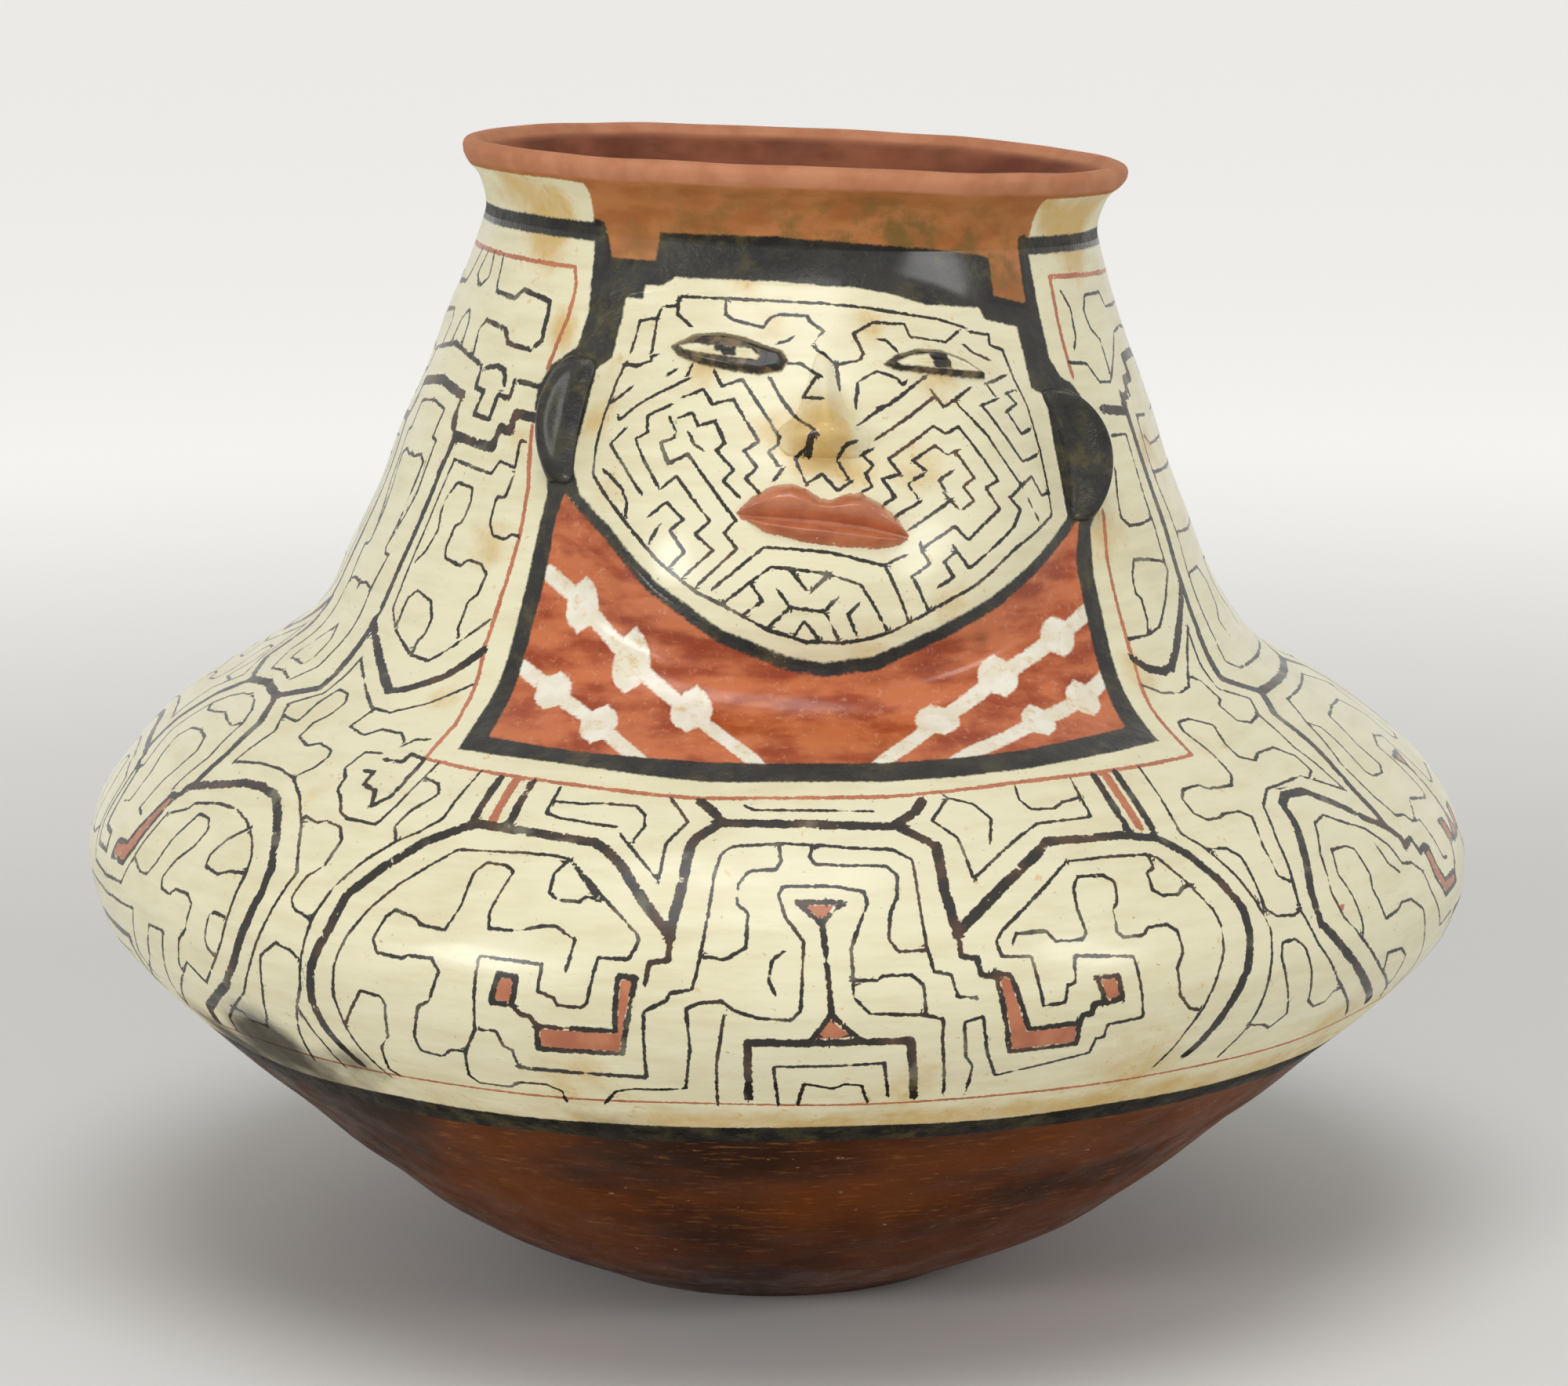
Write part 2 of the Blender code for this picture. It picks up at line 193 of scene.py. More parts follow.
# Brush lines, each a run of degree, climb, degree, climb ... A red box is a firm outline, filled.
archRight = {
    "broad": [
        [8.7, 189, 13, 200, 17, 209, 18, 211.5, 25, 211.5, 28.3, 209.5, 30.5, 204, 32.3, 196.5,
         33.7, 188, 33.7, 181, 33, 173, 31.5, 165, 30.3, 157.5, 29.3, 150],
    ],
    "redBox": [
        [11.3, 179.5, 12.8, 159.5, 18.2, 160, 18, 166, 14, 165.5, 12.5, 178.5],
        [19.3, 176.5, 21, 176.5, 21.4, 171, 20, 170.5],
    ],
    "firm": [
        [8.8, 188, 8.8, 183.5, 10, 183, 10.2, 179, 11.5, 178.5],
        [18.1, 166, 18.2, 168, 19, 168, 19, 170.5, 19.7, 170.5],
    ],
    "fine": [
        [18.9, 205.2, 12.2, 189, 11.6, 186.5, 11.9, 183, 14.2, 182.5, 15, 171, 16.7, 171.5, 16.9, 175.5,
         17.5, 175.7, 17.6, 182, 22.5, 180.5, 23.4, 165.5, 20.4, 164.7, 20.4, 161, 19.7, 161,
         19.6, 156.5, 12.2, 151.5, 11, 160, 10.4, 169.5, 9, 168.3, 9.4, 159, 10.1, 156, 10.3, 145],
        [18.9, 205.2, 22.6, 205.7, 26.7, 205.2, 27.4, 204, 29, 197.5, 30.7, 189, 31, 185, 30.8, 179,
         29, 166, 27.8, 159, 26.7, 147],
        [12.9, 186, 13.2, 188, 15.6, 188.3, 16.3, 185.7, 18.5, 185.5, 18.9, 187, 18.6, 193, 18.7, 198,
         19.4, 201, 21.7, 200.7, 22.5, 199, 22.2, 194, 21.6, 192, 21.5, 186.5, 22, 185, 23.8, 185.2,
         24.2, 186.8, 26, 187, 26.8, 185, 26.9, 180, 26.2, 176.5, 26.5, 170, 27.6, 166, 28.8, 165],
        [26.6, 205, 26.6, 201.5, 25.8, 200.5, 25.7, 196, 26.4, 194.2, 28, 194, 28.5, 195.5, 29.6, 196],
    ],
}
hexRight = {
    "broad": [[-1, 218.2, 5.2, 217.5, 8.2, 211.5, 8.2, 200, 8.7, 188.5]],
    "stout": [[-0.8, 164.2, 5.1, 164.2, 6.1, 145]],
    "firm": [
        [-1.4, 191.7, -1.2, 186, -0.8, 171.5], [-1, 197, 0.2, 197, -1.5, 191.7],
        [-0.8, 171.2, 1.4, 164.8],
    ],
    "fine": [
        [-1, 212, 2, 211, 4.5, 210.5, 6, 207.5, 6.1, 195, 6.3, 186, 6.7, 180.3, 8, 179.5, 8.4, 174.5,
         9.8, 174],
        [-1, 206.7, 0, 206.3, 3.9, 206, 4.6, 203.5, 4.4, 198, 3.8, 194.5, 3.5, 188, 4.2, 185, 6.2, 185.2],
        [-1, 201, 0, 200.7, 1.9, 199.5, 2.1, 196.5, 1.3, 191, 0.7, 186, 0.8, 175, 2, 171.3, 6, 170.5,
         7.4, 169.3, 7.5, 163, 8.5, 145],
        [0.7, 178.8, 2.5, 178.7, 3, 179.8, 5, 179.8, 5.9, 177.5, 6.1, 170.5],
        [-1, 157.4, 3.3, 158, 4, 146], [-0.3, 149.3, 0.5, 151, 1.8, 150.5, 2.5, 143.5],
    ],
    "redFill": [[-3.3, 197, 0.2, 197, -1.5, 191.7], [-2.2, 164.8, -0.9, 171, 1.4, 164.8]],
}
frontLeft = {
    "broad": [
        [-1, 218.4, -3.7, 218.4, -9.6, 218.2, -11.4, 213.7, -11.9, 210.9, -12.2, 198.7, -12.6, 190.9,
         -12.6, 187.6],
        [-9.5, 218.5, -10.5, 222, -11.6, 224.8],
        [-12.8, 188.7, -14.9, 195.9, -17, 204.2, -18.7, 208.7, -19.9, 210.6, -24.5, 211.7, -30.3, 212.6,
         -31.4, 211.4, -34.5, 205.9, -37.4, 197.6, -39.5, 189.8, -40.1, 182, -41.6, 172, -42.1, 163.1,
         -41.6, 156.4, -40.8, 149.8, -40.1, 144.5],
    ],
    "stout": [
        [-1, 164.2, -6.8, 164.2, -6.8, 144.5], [-30.9, 227.5, -31, 213.5], [-27.6, 227.5, -27.7, 212.6],
    ],
    "redBox": [
        [-14.9, 178.4, -16.2, 178.4, -16.5, 165.6, -22.4, 165.4, -22.6, 159.2, -16.1, 159.5],
        [-25.3, 176.8, -23.9, 176.5, -24.2, 170, -25.9, 170.3],
    ],
    "firm": [
        [-12.6, 187, -12.6, 182.6, -14, 181.7, -14.2, 177.5], [-1.2, 197, -3.3, 197, -1.5, 191.7],
        [-0.8, 171.2, -2.2, 164.8], [-22.5, 166, -23, 168, -23.6, 168, -24.2, 170],
        [-24.5, 152.8, -14.7, 152.5],
    ],
    "fine": [
        [-18.5, 195.9, -21.4, 205.3, -22.4, 201.4, -22.4, 196.4, -21.6, 194.8, -19.9, 194.8,
         -19.5, 196.2, -18, 195.9],
        [-21.4, 205.3, -22.6, 205.9, -25.8, 206, -31.2, 205.1, -33.3, 199.8, -35.3, 194.2, -37, 187.6,
         -38.5, 179.8, -39.3, 173.7, -39.7, 166.4, -39.3, 158.1, -38.7, 150.3, -37.8, 141],
        [-21.4, 205.3, -18.7, 198.1, -15.1, 188.1, -14.9, 186.4, -15.5, 182.3, -17.8, 182.3, -18.5, 172,
         -18.9, 170.9, -20.7, 170.9, -21, 172.6, -22.2, 173.7, -22, 179.8, -27, 180.3, -27.4, 163.1,
         -28.7, 155.9, -29.3, 147.6, -28.7, 144.8, -26, 144.8, -25.1, 147, -22.8, 147.3, -21.6, 145.1,
         -21.6, 141],
        [-20.1, 179.2, -19.7, 185.9, -21.4, 188.7, -22.4, 188.4, -24.5, 186.7, -26.6, 186.7,
         -26.8, 190.9, -25.8, 200.9, -26.6, 202.3, -28.3, 202.6, -29.1, 199.8, -29.3, 190.9,
         -30.1, 185.1, -32.2, 185.6, -32.8, 187, -34.7, 188.1, -35.3, 186.4, -36, 180.9, -35.5, 178.1,
         -33.3, 177.6, -32.8, 178.4, -30.8, 178.4, -30.1, 175.9, -31, 168.7, -32, 167, -32.8, 158.7,
         -32.6, 154.8, -30.8, 153.9, -29.9, 156.4, -28.7, 156.4],
        [-39.3, 158.7, -37.8, 165.3, -37, 168.7, -35.3, 168.1, -34.9, 166.4, -35.3, 157.6, -36.4, 153.7,
         -37.2, 144.8, -36.6, 142.6],
        [-14.5, 152.6, -14.3, 170.9, -12.6, 173.7, -12.4, 175.3, -10.8, 176.2, -10.3, 183.1],
        [-24.5, 152.8, -24.7, 158.4, -25.3, 159, -25.7, 163.1, -27, 163.1],
        [-18.4, 141, -17.2, 146.4, -15.7, 147.8, -13.7, 147.8, -11.6, 148.7, -11, 162, -11.2, 172,
         -10.3, 173.4, -8.7, 173.9, -7.6, 171.7, -6, 170.3, -3.7, 169.8, -3, 172, -2.8, 187.6,
         -4.1, 193.1, -4.7, 198.7, -4.3, 200.9, -1, 201],
        [-10.3, 183.7, -8.5, 183.1, -7, 185.9, -7, 194.2, -7.8, 196.4, -7.8, 201.4, -7, 204.8,
         -4.9, 205.3, -4.5, 207.6, -4.7, 212],
        [-10.3, 183.1, -9.9, 194.2, -9.7, 204.2, -9.3, 209.2, -8.5, 211.4, -4.5, 212.6, -1, 212],
        [-4.3, 185.1, -5.1, 183.1, -5.3, 178.7, -4.9, 175.9],
        [-2, 211.7, -2.2, 208.7, -1.8, 206.7, -1, 206.7], [-8.5, 170.3, -9.1, 158.1, -9.3, 142],
        [-4.5, 142.5, -4.9, 157.3, -1, 157.4], [-3, 142.8, -2.6, 151.2, -0.3, 149.3],
        [-33.3, 229, -33.9, 212.6, -35.3, 208.7, -37.2, 204.8, -39.3, 198.7, -41, 191.4, -42, 183.1,
         -43, 166.4, -43.9, 161.4, -45.3, 151.4, -46, 144.2, -46.4, 140.5],
        [-43.9, 161.2, -43, 150.9, -42.6, 141],
        [-38.2, 229.6, -38.5, 224.4, -36.6, 223.2, -35.8, 220.2, -36.2, 217.9, -37.4, 213.8, -38, 208.7,
         -37.2, 205],
        [-38.5, 224.4, -39.1, 214.8, -39.9, 208.4, -43.3, 208.7, -44.3, 210, -45.3, 213.7, -46.4, 216,
         -46.6, 219.7, -47.6, 222.6, -47.2, 229.1, -45.3, 229.6],
        [-47.8, 207, -46, 205.9, -45.1, 207, -43.3, 205.9, -42.4, 202.8, -42.8, 195.9, -44.1, 192,
         -44.7, 186.4, -44.1, 184.2, -42.2, 182.6],
        [-43, 173.7, -43.7, 174.8, -45.3, 175.9, -47, 172, -47.4, 164.2, -48.3, 155.3, -49.5, 150.3],
        [-24.7, 226.1, -24.9, 217.9, -23.3, 216.7, -18.5, 215.5],
        [-24.7, 221.8, -22, 221.8, -20.3, 222.6, -17.2, 222.6, -16.2, 219.6, -16, 216.1, -16.6, 212],
        [-14.3, 225.5, -12.4, 218.2, -13.9, 211.4, -14, 201.2, -17.8, 213.1],
    ],
    "redFirm": [[-29.2, 228, -29.3, 213.6]],
}
frontRight = {
    "broad": [[5.2, 218, 7.2, 222, 8, 225.6]],
    "stout": [[26, 212.5, 26, 230.5], [28.4, 212, 28.6, 231]],
    "fine": [
        [8.4, 219, 10.2, 213.5, 10.7, 202, 13.2, 208, 15.5, 213, 17.8, 217, 23.2, 218, 23.3, 230],
        [17.8, 221.5, 20, 221.3, 21.2, 223.2, 23.3, 224.2],
        [12.9, 212, 13.7, 219, 12.6, 224, 10.4, 226.3, 10.1, 227.6], [10.4, 226.3, 8.4, 219],
        [17.3, 228.6, 17.1, 224.7, 17.8, 221.5], [-7.6, 223.6, -6.8, 222.5, -1, 222.6, 3.3, 222.4],
        [31.7, 232, 31, 210, 32.5, 205.5, 34.2, 197, 35.3, 189, 36, 181.5, 35.6, 174, 34.5, 157,
         33.7, 146],
        [32.6, 204.7, 34.8, 204, 35.8, 201, 36, 187, 37, 184.7, 39, 184, 39.8, 185, 40, 192,
         38.7, 194.5, 38.8, 202.5, 40, 211.5, 39, 213.7, 37, 213.7, 36.2, 212.7, 34.8, 212.8, 33.8, 215,
         33.6, 220, 34.5, 222.8, 36.7, 223.5, 37.5, 221.8, 40.7, 221.7, 41.9, 225, 42.1, 233,
         41.8, 242.5, 42.5, 245.5, 44.5, 245.8, 46.9, 242, 45.3, 235, 45.2, 230, 47, 227.7, 48.5, 229.7,
         51.7, 230, 53.4, 225.5, 53.5, 220, 52, 218],
        [34.4, 157.5, 36.5, 156, 37.5, 154, 38.8, 158, 37.4, 168, 36.7, 174.5, 37, 178, 38.5, 178.2,
         39.5, 175.5, 40.2, 170, 41, 160.5, 42.3, 157.5, 43.8, 158, 44.2, 160.7, 45.3, 161],
    ],
    "redFirm": [[27.3, 213.2, 27.3, 230.5]],
}

# Half a side panel, from the bib to the middle of the flank
panelRight = {
    "broad": [
        [52.5, 328.5, 60.7, 327],
        [60.9, 331, 61.4, 297, 60.8, 281, 59.7, 270, 57.6, 258.5, 56.8, 254.3, 62.6, 246.8, 73.5, 246.5],
        [60.9, 330.5, 64.3, 331, 64.4, 334.5, 68, 335, 68.3, 340, 73.5, 340.5],
        [42.2, 265.5, 44, 262, 46.5, 260.5, 48.5, 261, 53, 268, 58, 276, 60.8, 281],
        [62.6, 246.8, 58.8, 239, 58, 224.5, 57.2, 210.5, 57.2, 198, 58.2, 194.5],
        [57.2, 198, 54.8, 202.5, 52.8, 208, 50.5, 212.5, 49.5, 215, 46.5, 215.5, 45, 213, 44.5, 207.5,
         43.2, 199.5, 41.8, 189, 41.8, 180.5, 44.5, 172, 49, 160.5, 54.5, 148],
    ],
    "stout": [
        [58, 195.5, 58.5, 194, 58.2, 191.5, 60.3, 192.5, 60.8, 188.3, 62.5, 189, 63.2, 188],
        [68.8, 166.5, 73.5, 166.5], [68.8, 166.5, 68.2, 147], [73.5, 206, 73.5, 191],
    ],
    "redBox": [
        [63.2, 188, 63.5, 182.5, 64.6, 177.8, 68, 178, 68.6, 175, 64, 174.2, 62.2, 180.5, 62, 187.5],
        [69.6, 191, 71.4, 190.5, 71.8, 184.5, 70, 184.8],
    ],
    "firm": [
        [68.6, 177.5, 69, 179.5, 69.4, 179.5, 69.8, 182, 70.2, 184.5], [73.5, 211, 71.9, 211, 73.5, 206],
        [73.5, 191, 72.2, 184, 73.5, 184],
    ],
    "fine": [
        [49.7, 359.5, 51.7, 355, 51.2, 348, 49.6, 345],
        [47, 341.5, 51.7, 340.7, 54, 335.5, 58, 335, 68, 347, 73.5, 348],
        [73.5, 353.7, 66.5, 354, 64.8, 358, 58, 358, 56.3, 354, 57, 349.5, 59.4, 346, 59, 337.5],
        [53.5, 321.7, 58, 321.3, 57.7, 305, 58.1, 297, 57.8, 285, 54, 278, 50, 272, 46.8, 270.5,
         43, 270.5],
        [51.6, 313, 50, 306, 49.4, 301, 51, 298.5, 54.3, 298.3, 57.8, 299],
        [57.8, 287.5, 53.5, 289.3, 50, 290, 48.4, 286, 47.8, 281.7, 48.6, 280, 47.9, 274, 47, 271],
        [41.7, 258, 44, 255, 47, 254, 49.3, 255, 54, 264.5, 57, 270, 55, 260, 54.2, 252, 58.3, 246.3,
         56, 241, 54.8, 228, 55.8, 211.5, 52.2, 217.5, 51, 219.5, 44.8, 218.5, 42.5, 214, 40.8, 203.5,
         40.2, 192.5, 39.8, 185.5, 41, 176, 44.2, 164.5, 51, 146.5],
        [51, 257.5, 52.5, 255.5, 52.7, 249, 51.3, 247.5, 51.2, 241, 53, 239.3, 56, 241],
        [64.7, 325, 64.5, 308, 65.3, 290, 63, 265, 61.5, 258, 64, 255, 73.5, 254.5],
        [64.7, 325, 70, 324.5], [66, 319.5, 68, 317, 73.5, 317], [64.6, 310, 73.5, 309.5],
        [65.3, 293.5, 73.5, 292.5], [65, 282.5, 70, 283, 71.5, 278, 70.5, 272, 68, 268, 69, 263.5],
        [73.5, 241, 65.5, 241, 62, 232.5, 59.5, 218.5, 59.5, 206.5, 60.3, 199.5, 62, 198.5, 62.8, 196,
         64.8, 195, 65.5, 189, 66, 183, 67, 182.5],
        [62, 232.5, 63.5, 229.5, 63.2, 222.5, 62.5, 213.5, 63.2, 211, 65.5, 210.5, 66.8, 212.5,
         66.8, 220.5, 68.8, 230.5, 73.5, 231.5],
        [73.5, 218.4, 71, 216, 71, 199, 70.2, 198, 65.8, 201, 63.8, 196],
        [59.8, 183.5, 58, 187, 56.2, 188, 55.5, 193.5, 53.5, 200, 50.8, 204, 49, 207, 47, 205.5,
         45, 197, 44.2, 187, 44.8, 180.5, 47, 173.5, 51, 163, 57.2, 150, 58.5, 146],
        [60.5, 156.5, 58.5, 168.5, 58, 174.5, 55.8, 178.5, 54, 179, 53.2, 177.5, 50.8, 176.5, 49.8, 185,
         50.3, 188.5, 50, 196, 49, 197.5, 46.8, 197.5, 46, 191.5, 46.8, 184.5, 47.2, 177, 47, 173.5],
        [60.5, 156.5, 61.5, 147],
        [59.8, 183.5, 60.3, 178, 63, 166.5, 67, 168, 67, 158, 64.5, 155, 64, 147],
        [53.5, 195, 53.8, 189.5, 55, 186.5],
        [51.8, 162, 51.5, 167, 54, 166.5, 55.5, 163.5, 55.5, 158.5, 56, 152.5],
        [70.6, 147, 70.9, 160, 73.5, 160], [72.2, 147, 72.5, 152.5, 73.5, 151.5],
    ],
    "redFill": [
        [73.8, 211, 71.9, 211, 73.8, 205.4], [73.8, 192, 72.2, 184, 73.8, 184],
        [44.7, 184.5, 45.5, 183.8, 45.6, 182.4, 44.9, 181.6, 44.2, 182.6],
    ],
}
panelLeft = {
    "broad": [
        [-73.5, 328.8, -64.5, 326.5], [-64.3, 321.6, -63.4, 318.6],
        [-62.2, 316.4, -52.4, 315.5, -52.4, 320.8, -49.7, 320.2, -49.9, 324.9, -45.5, 324.4],
        [-64.6, 266.8, -64.2, 258, -63.4, 250.5, -63, 244.5, -68.5, 237.5, -73.5, 239.5],
        [-64.6, 266.8, -61.5, 262.5, -56.8, 256, -52, 249.6, -49.9, 251.4, -46.2, 257.3, -42.6, 266.1],
        [-68.5, 237.5, -65, 228.5, -64.2, 217, -65, 206],
        [-65.2, 205.5, -59.5, 209.5, -57.7, 211, -55, 211.5, -52.5, 210, -51, 206, -49.5, 200.5,
         -48, 192, -48, 186, -48.8, 178.5, -50.3, 169, -52.2, 161.5, -57.5, 150.5, -59, 143.5],
    ],
    "stout": [
        [-62, 316, -63, 307.5, -63.5, 294.5, -63.8, 282.5, -64.2, 268, -64.6, 266.8],
        [-65, 206, -66, 204.5, -65.8, 203, -66.6, 201.5, -67.5, 201.5], [-73.5, 163, -68.6, 163],
        [-69, 163, -68.4, 146.5],
    ],
    "redBox": [[-67.5, 201.5, -70, 186, -72.2, 185.2, -72.6, 181, -69.4, 181, -68.2, 186, -66.5, 201]],
    "firm": [
        [-65, 353.5, -58.7, 352.7, -57, 355.2, -51.8, 354, -49.6, 353.2, -49.1, 350.2, -48.6, 343.5,
         -50.3, 340.7, -56.4, 341.4, -58.5, 344.8, -64.8, 346],
        [-64.5, 326.5, -64.2, 321, -63.4, 319, -62.2, 316.4],
        [-60.3, 334.6, -57.4, 335.5, -55.1, 334.6, -54.3, 331.6],
        [-73.5, 338.4, -62.2, 335, -61.5, 329.2, -58.9, 328.7, -59.3, 322.6, -55.3, 322.2, -55.1, 328.5,
         -52.2, 328.1, -52, 332.8, -46.8, 332.2],
        [-44.1, 227.9, -42, 228.1, -41.9, 231.1, -39.9, 230.2, -40.3, 217.3, -41.6, 213.2, -42.4, 217.9,
         -44.1, 219.1, -44.1, 223.2, -45.1, 223.2],
    ],
    "fine": [
        [-67.5, 362.5, -66, 355.5, -65, 353.5], [-64.8, 346, -66.5, 343.5, -65.9, 336.4],
        [-73.5, 354.2, -72.8, 354, -70.5, 356.5, -71.8, 362.5],
        [-73.5, 347.1, -73, 347, -71.5, 344.5, -70.9, 337.8],
        [-45.3, 317.9, -47, 318.5, -46.5, 311.4, -49.9, 312.6, -50.8, 309.1, -60.3, 310.8, -61.2, 299.6,
         -61.6, 285.5, -61.4, 271.4, -58.9, 266.7, -53.7, 261.4, -50.1, 260.8, -43.3, 273.8],
        [-46.5, 309.1, -47, 304.1, -48.7, 303.8, -48.7, 297.3, -47.4, 294.4, -44.9, 294, -44.1, 295.5,
         -42.8, 295.2],
        [-60.5, 284.4, -59.3, 287.3, -58.5, 293.2, -59.3, 297.9, -59.1, 301.4, -57.6, 305.5,
         -54.1, 304.9, -53.5, 302, -54.1, 296.1, -55.3, 294.9, -55.5, 289.1, -54.7, 286.7, -51.2, 285.5,
         -50.3, 287.5, -47.6, 286.9, -46.2, 284.9, -46.4, 279.6, -47.6, 277.3, -47.8, 270.2,
         -47.2, 268.5],
        [-58.9, 267.3, -59.1, 272, -58.9, 274.9, -57.6, 277.3, -54.1, 275.5, -52.8, 271.4, -53, 266.7,
         -53.7, 265.5, -53.5, 261.4],
        [-64.6, 236.8, -61.3, 243.5, -61.4, 250.5, -61.8, 256.7, -57.8, 251.4, -52, 243.2, -49.1, 243.2,
         -45.3, 248.5, -41.6, 256.7],
        [-51.6, 242.6, -52.4, 236.1, -49.5, 234.4, -48, 237.5, -45.1, 237.3, -43.9, 234.9],
        [-43.7, 233.2, -42.8, 236.1, -41.4, 236.7],
        [-63.1, 233, -59.9, 232.6, -60.3, 240.8, -59.7, 246.1, -57.6, 245.5, -56.4, 242.6, -56.6, 237.9,
         -57.6, 233.8, -57.2, 228.5, -54.9, 226.7, -53.7, 228.5, -51.4, 227.3, -50.8, 224.9, -51, 220.8,
         -52, 217.3],
        [-64.6, 236.8, -61.3, 228, -62, 215.5, -58, 217.5, -54.8, 217.5, -52.2, 216, -50, 212,
         -47.5, 204.5, -46, 197, -45.2, 192.5, -45.8, 187, -46.8, 179, -48.2, 170, -50, 161,
         -54.8, 149.5, -56.2, 142.5],
        [-65.8, 197, -64.8, 198, -63, 200, -62.5, 202, -59, 204, -56.2, 204, -54, 202, -52, 198,
         -50.8, 193.5, -50.5, 189.5, -51, 180, -51.8, 172.5, -52.8, 168, -55.2, 160, -57.5, 164,
         -59, 159.5, -62, 151, -64.5, 143.5],
        [-53, 200.5, -54.2, 198, -55, 196, -56, 191.5, -55.8, 188.5, -53.8, 187.5, -52.5, 189,
         -50.5, 189.5],
        [-51.5, 178.5, -52.8, 179, -53.5, 178, -54, 172, -53.8, 170, -52.8, 168],
        [-67.5, 184, -65.8, 181.5, -64.2, 181.5, -63.2, 185, -62.5, 192, -60.8, 200, -59, 199.5,
         -58.2, 197, -58.8, 192, -60.3, 187.5, -61.3, 182.5, -61, 180, -59.5, 179.5, -58.8, 181,
         -56.8, 181, -56, 179, -56.8, 172.5, -58, 169.5, -59, 162.5, -58.8, 160.5],
        [-65.8, 197, -66.8, 189.5, -67.5, 184, -69, 176.5, -73.5, 175.5],
        [-72, 142, -65, 160, -63, 170, -60.5, 170, -62, 160.5, -63.2, 152, -64.5, 143.5],
        [-73.5, 171, -71.5, 171.5, -68.8, 171.5, -66, 172, -67.6, 159.5, -66.2, 153],
        [-73.5, 157, -71, 157, -70.6, 146.5],
        [-73.5, 323.3, -68.2, 322, -68.2, 314.5, -66.8, 314, -67.5, 300, -70, 285, -69.2, 283.5,
         -68, 283.5, -69.2, 274, -68.9, 265, -68.5, 256.5, -67.8, 250, -70, 243, -73.5, 244.5],
        [-73.5, 309, -72.5, 308.5, -70, 309.5, -68.5, 308, -69.5, 298.5, -69.9, 285],
        [-69.2, 274, -71.2, 275, -73.2, 274.5, -73.5, 273],
        [-73.5, 262.4, -71.8, 258, -70.8, 251.5, -71.2, 248.5, -73.5, 248.8],
        [-73.5, 234.5, -71.5, 233.5, -69.2, 230.8, -67.4, 226, -66.6, 214, -67.8, 207, -68.2, 203],
        [-73.5, 226.5, -70.8, 224.8, -68.8, 224.2, -67.4, 226],
        [-73.5, 219, -71, 218, -69.8, 214, -70.6, 207.5, -71.4, 203.5, -71.8, 194.5, -70.6, 193.5],
        [-52.8, 154.8, -51.6, 154.2, -51.2, 151.4, -49.7, 150.9],
    ],
}

# What closes the panels where two tiles meet on the unseen sides
seamRight = {
    "broad": [[104.8, 265.5, 107, 271, 109, 279, 109, 331], [94.5, 328.5, 101, 329.5, 109, 331]],
    "fine": [
        [93.5, 321.7, 106.6, 322.5, 106.6, 284, 105.8, 276, 104, 270.5],
        [105.3, 258, 107.5, 262.5, 109, 268],
        [97.3, 359.5, 101, 358, 103, 352, 106, 352, 106.5, 357.5, 109, 357.5],
        [100, 341.5, 104, 341, 105.5, 337, 109, 337.5],
        [106.6, 312, 103.5, 311.5, 102.8, 306, 103.6, 300, 106.6, 299.5],
        [95, 218, 93.5, 220, 93.6, 225.5, 95.3, 230, 98.5, 229.7, 100, 227.7, 101.8, 230, 101.7, 235,
         100.1, 242, 102.5, 245.8, 104.5, 245.5, 105.2, 242.5, 104.9, 233, 105.1, 225, 106.3, 221.7,
         109, 221.5],
        [107.4, 250, 106.6, 245, 107.2, 238, 109, 236],
        [101.7, 161, 102.8, 160.7, 103.2, 158, 104.7, 157.5, 106, 160.5, 106.8, 170, 107.5, 175.5,
         109, 178.2],
        [109, 168, 107.8, 160, 107, 154, 104.5, 151, 104, 145],
        [109, 212.5, 107.4, 211.5, 107, 206, 108, 201.5, 109, 201],
    ],
}
seamLeft = {
    "broad": [[-104.4, 266.1, -107, 271, -109, 279, -109, 326], [-101.5, 324.4, -109, 326]],
    "fine": [
        [-101.7, 317.9, -106.6, 318, -106.6, 284, -105.6, 276, -103.7, 273.8],
        [-105.4, 256.7, -107.5, 262, -109, 268],
        [-97.9, 350.2, -101, 350, -102, 356, -106, 356, -107, 350.5, -109, 350.5],
        [-100.2, 332.2, -104, 334, -105, 340, -109, 340.5],
        [-106.6, 308, -103.6, 307, -103, 301, -104.2, 295.2],
        [-99.2, 207, -101, 205.9, -101.9, 207, -103.7, 205.9, -104.6, 202.8, -104.2, 195.9, -102.9, 192,
         -102.3, 186.4, -102.9, 184.2, -104.8, 182.6, -107, 181, -109, 181],
        [-109, 213, -107.5, 208, -106.5, 196, -107.5, 188, -109, 186],
        [-95, 217.3, -96, 220.8, -96.2, 225, -98, 229, -101.8, 229.6, -104, 226, -103.6, 218,
         -105, 215.5, -109, 216],
        [-103.1, 234.9, -105, 237, -106.5, 243, -106, 250], [-109, 230, -106.8, 231, -106, 236],
        [-104, 173.7, -101.7, 175.9, -100, 172, -99.6, 164.2, -98.7, 155.3, -97.5, 150.3],
        [-109, 170, -106.5, 170, -105.5, 164, -104, 152, -103.4, 144],
        [-109, 160, -107.6, 157, -107, 144],
    ],
}
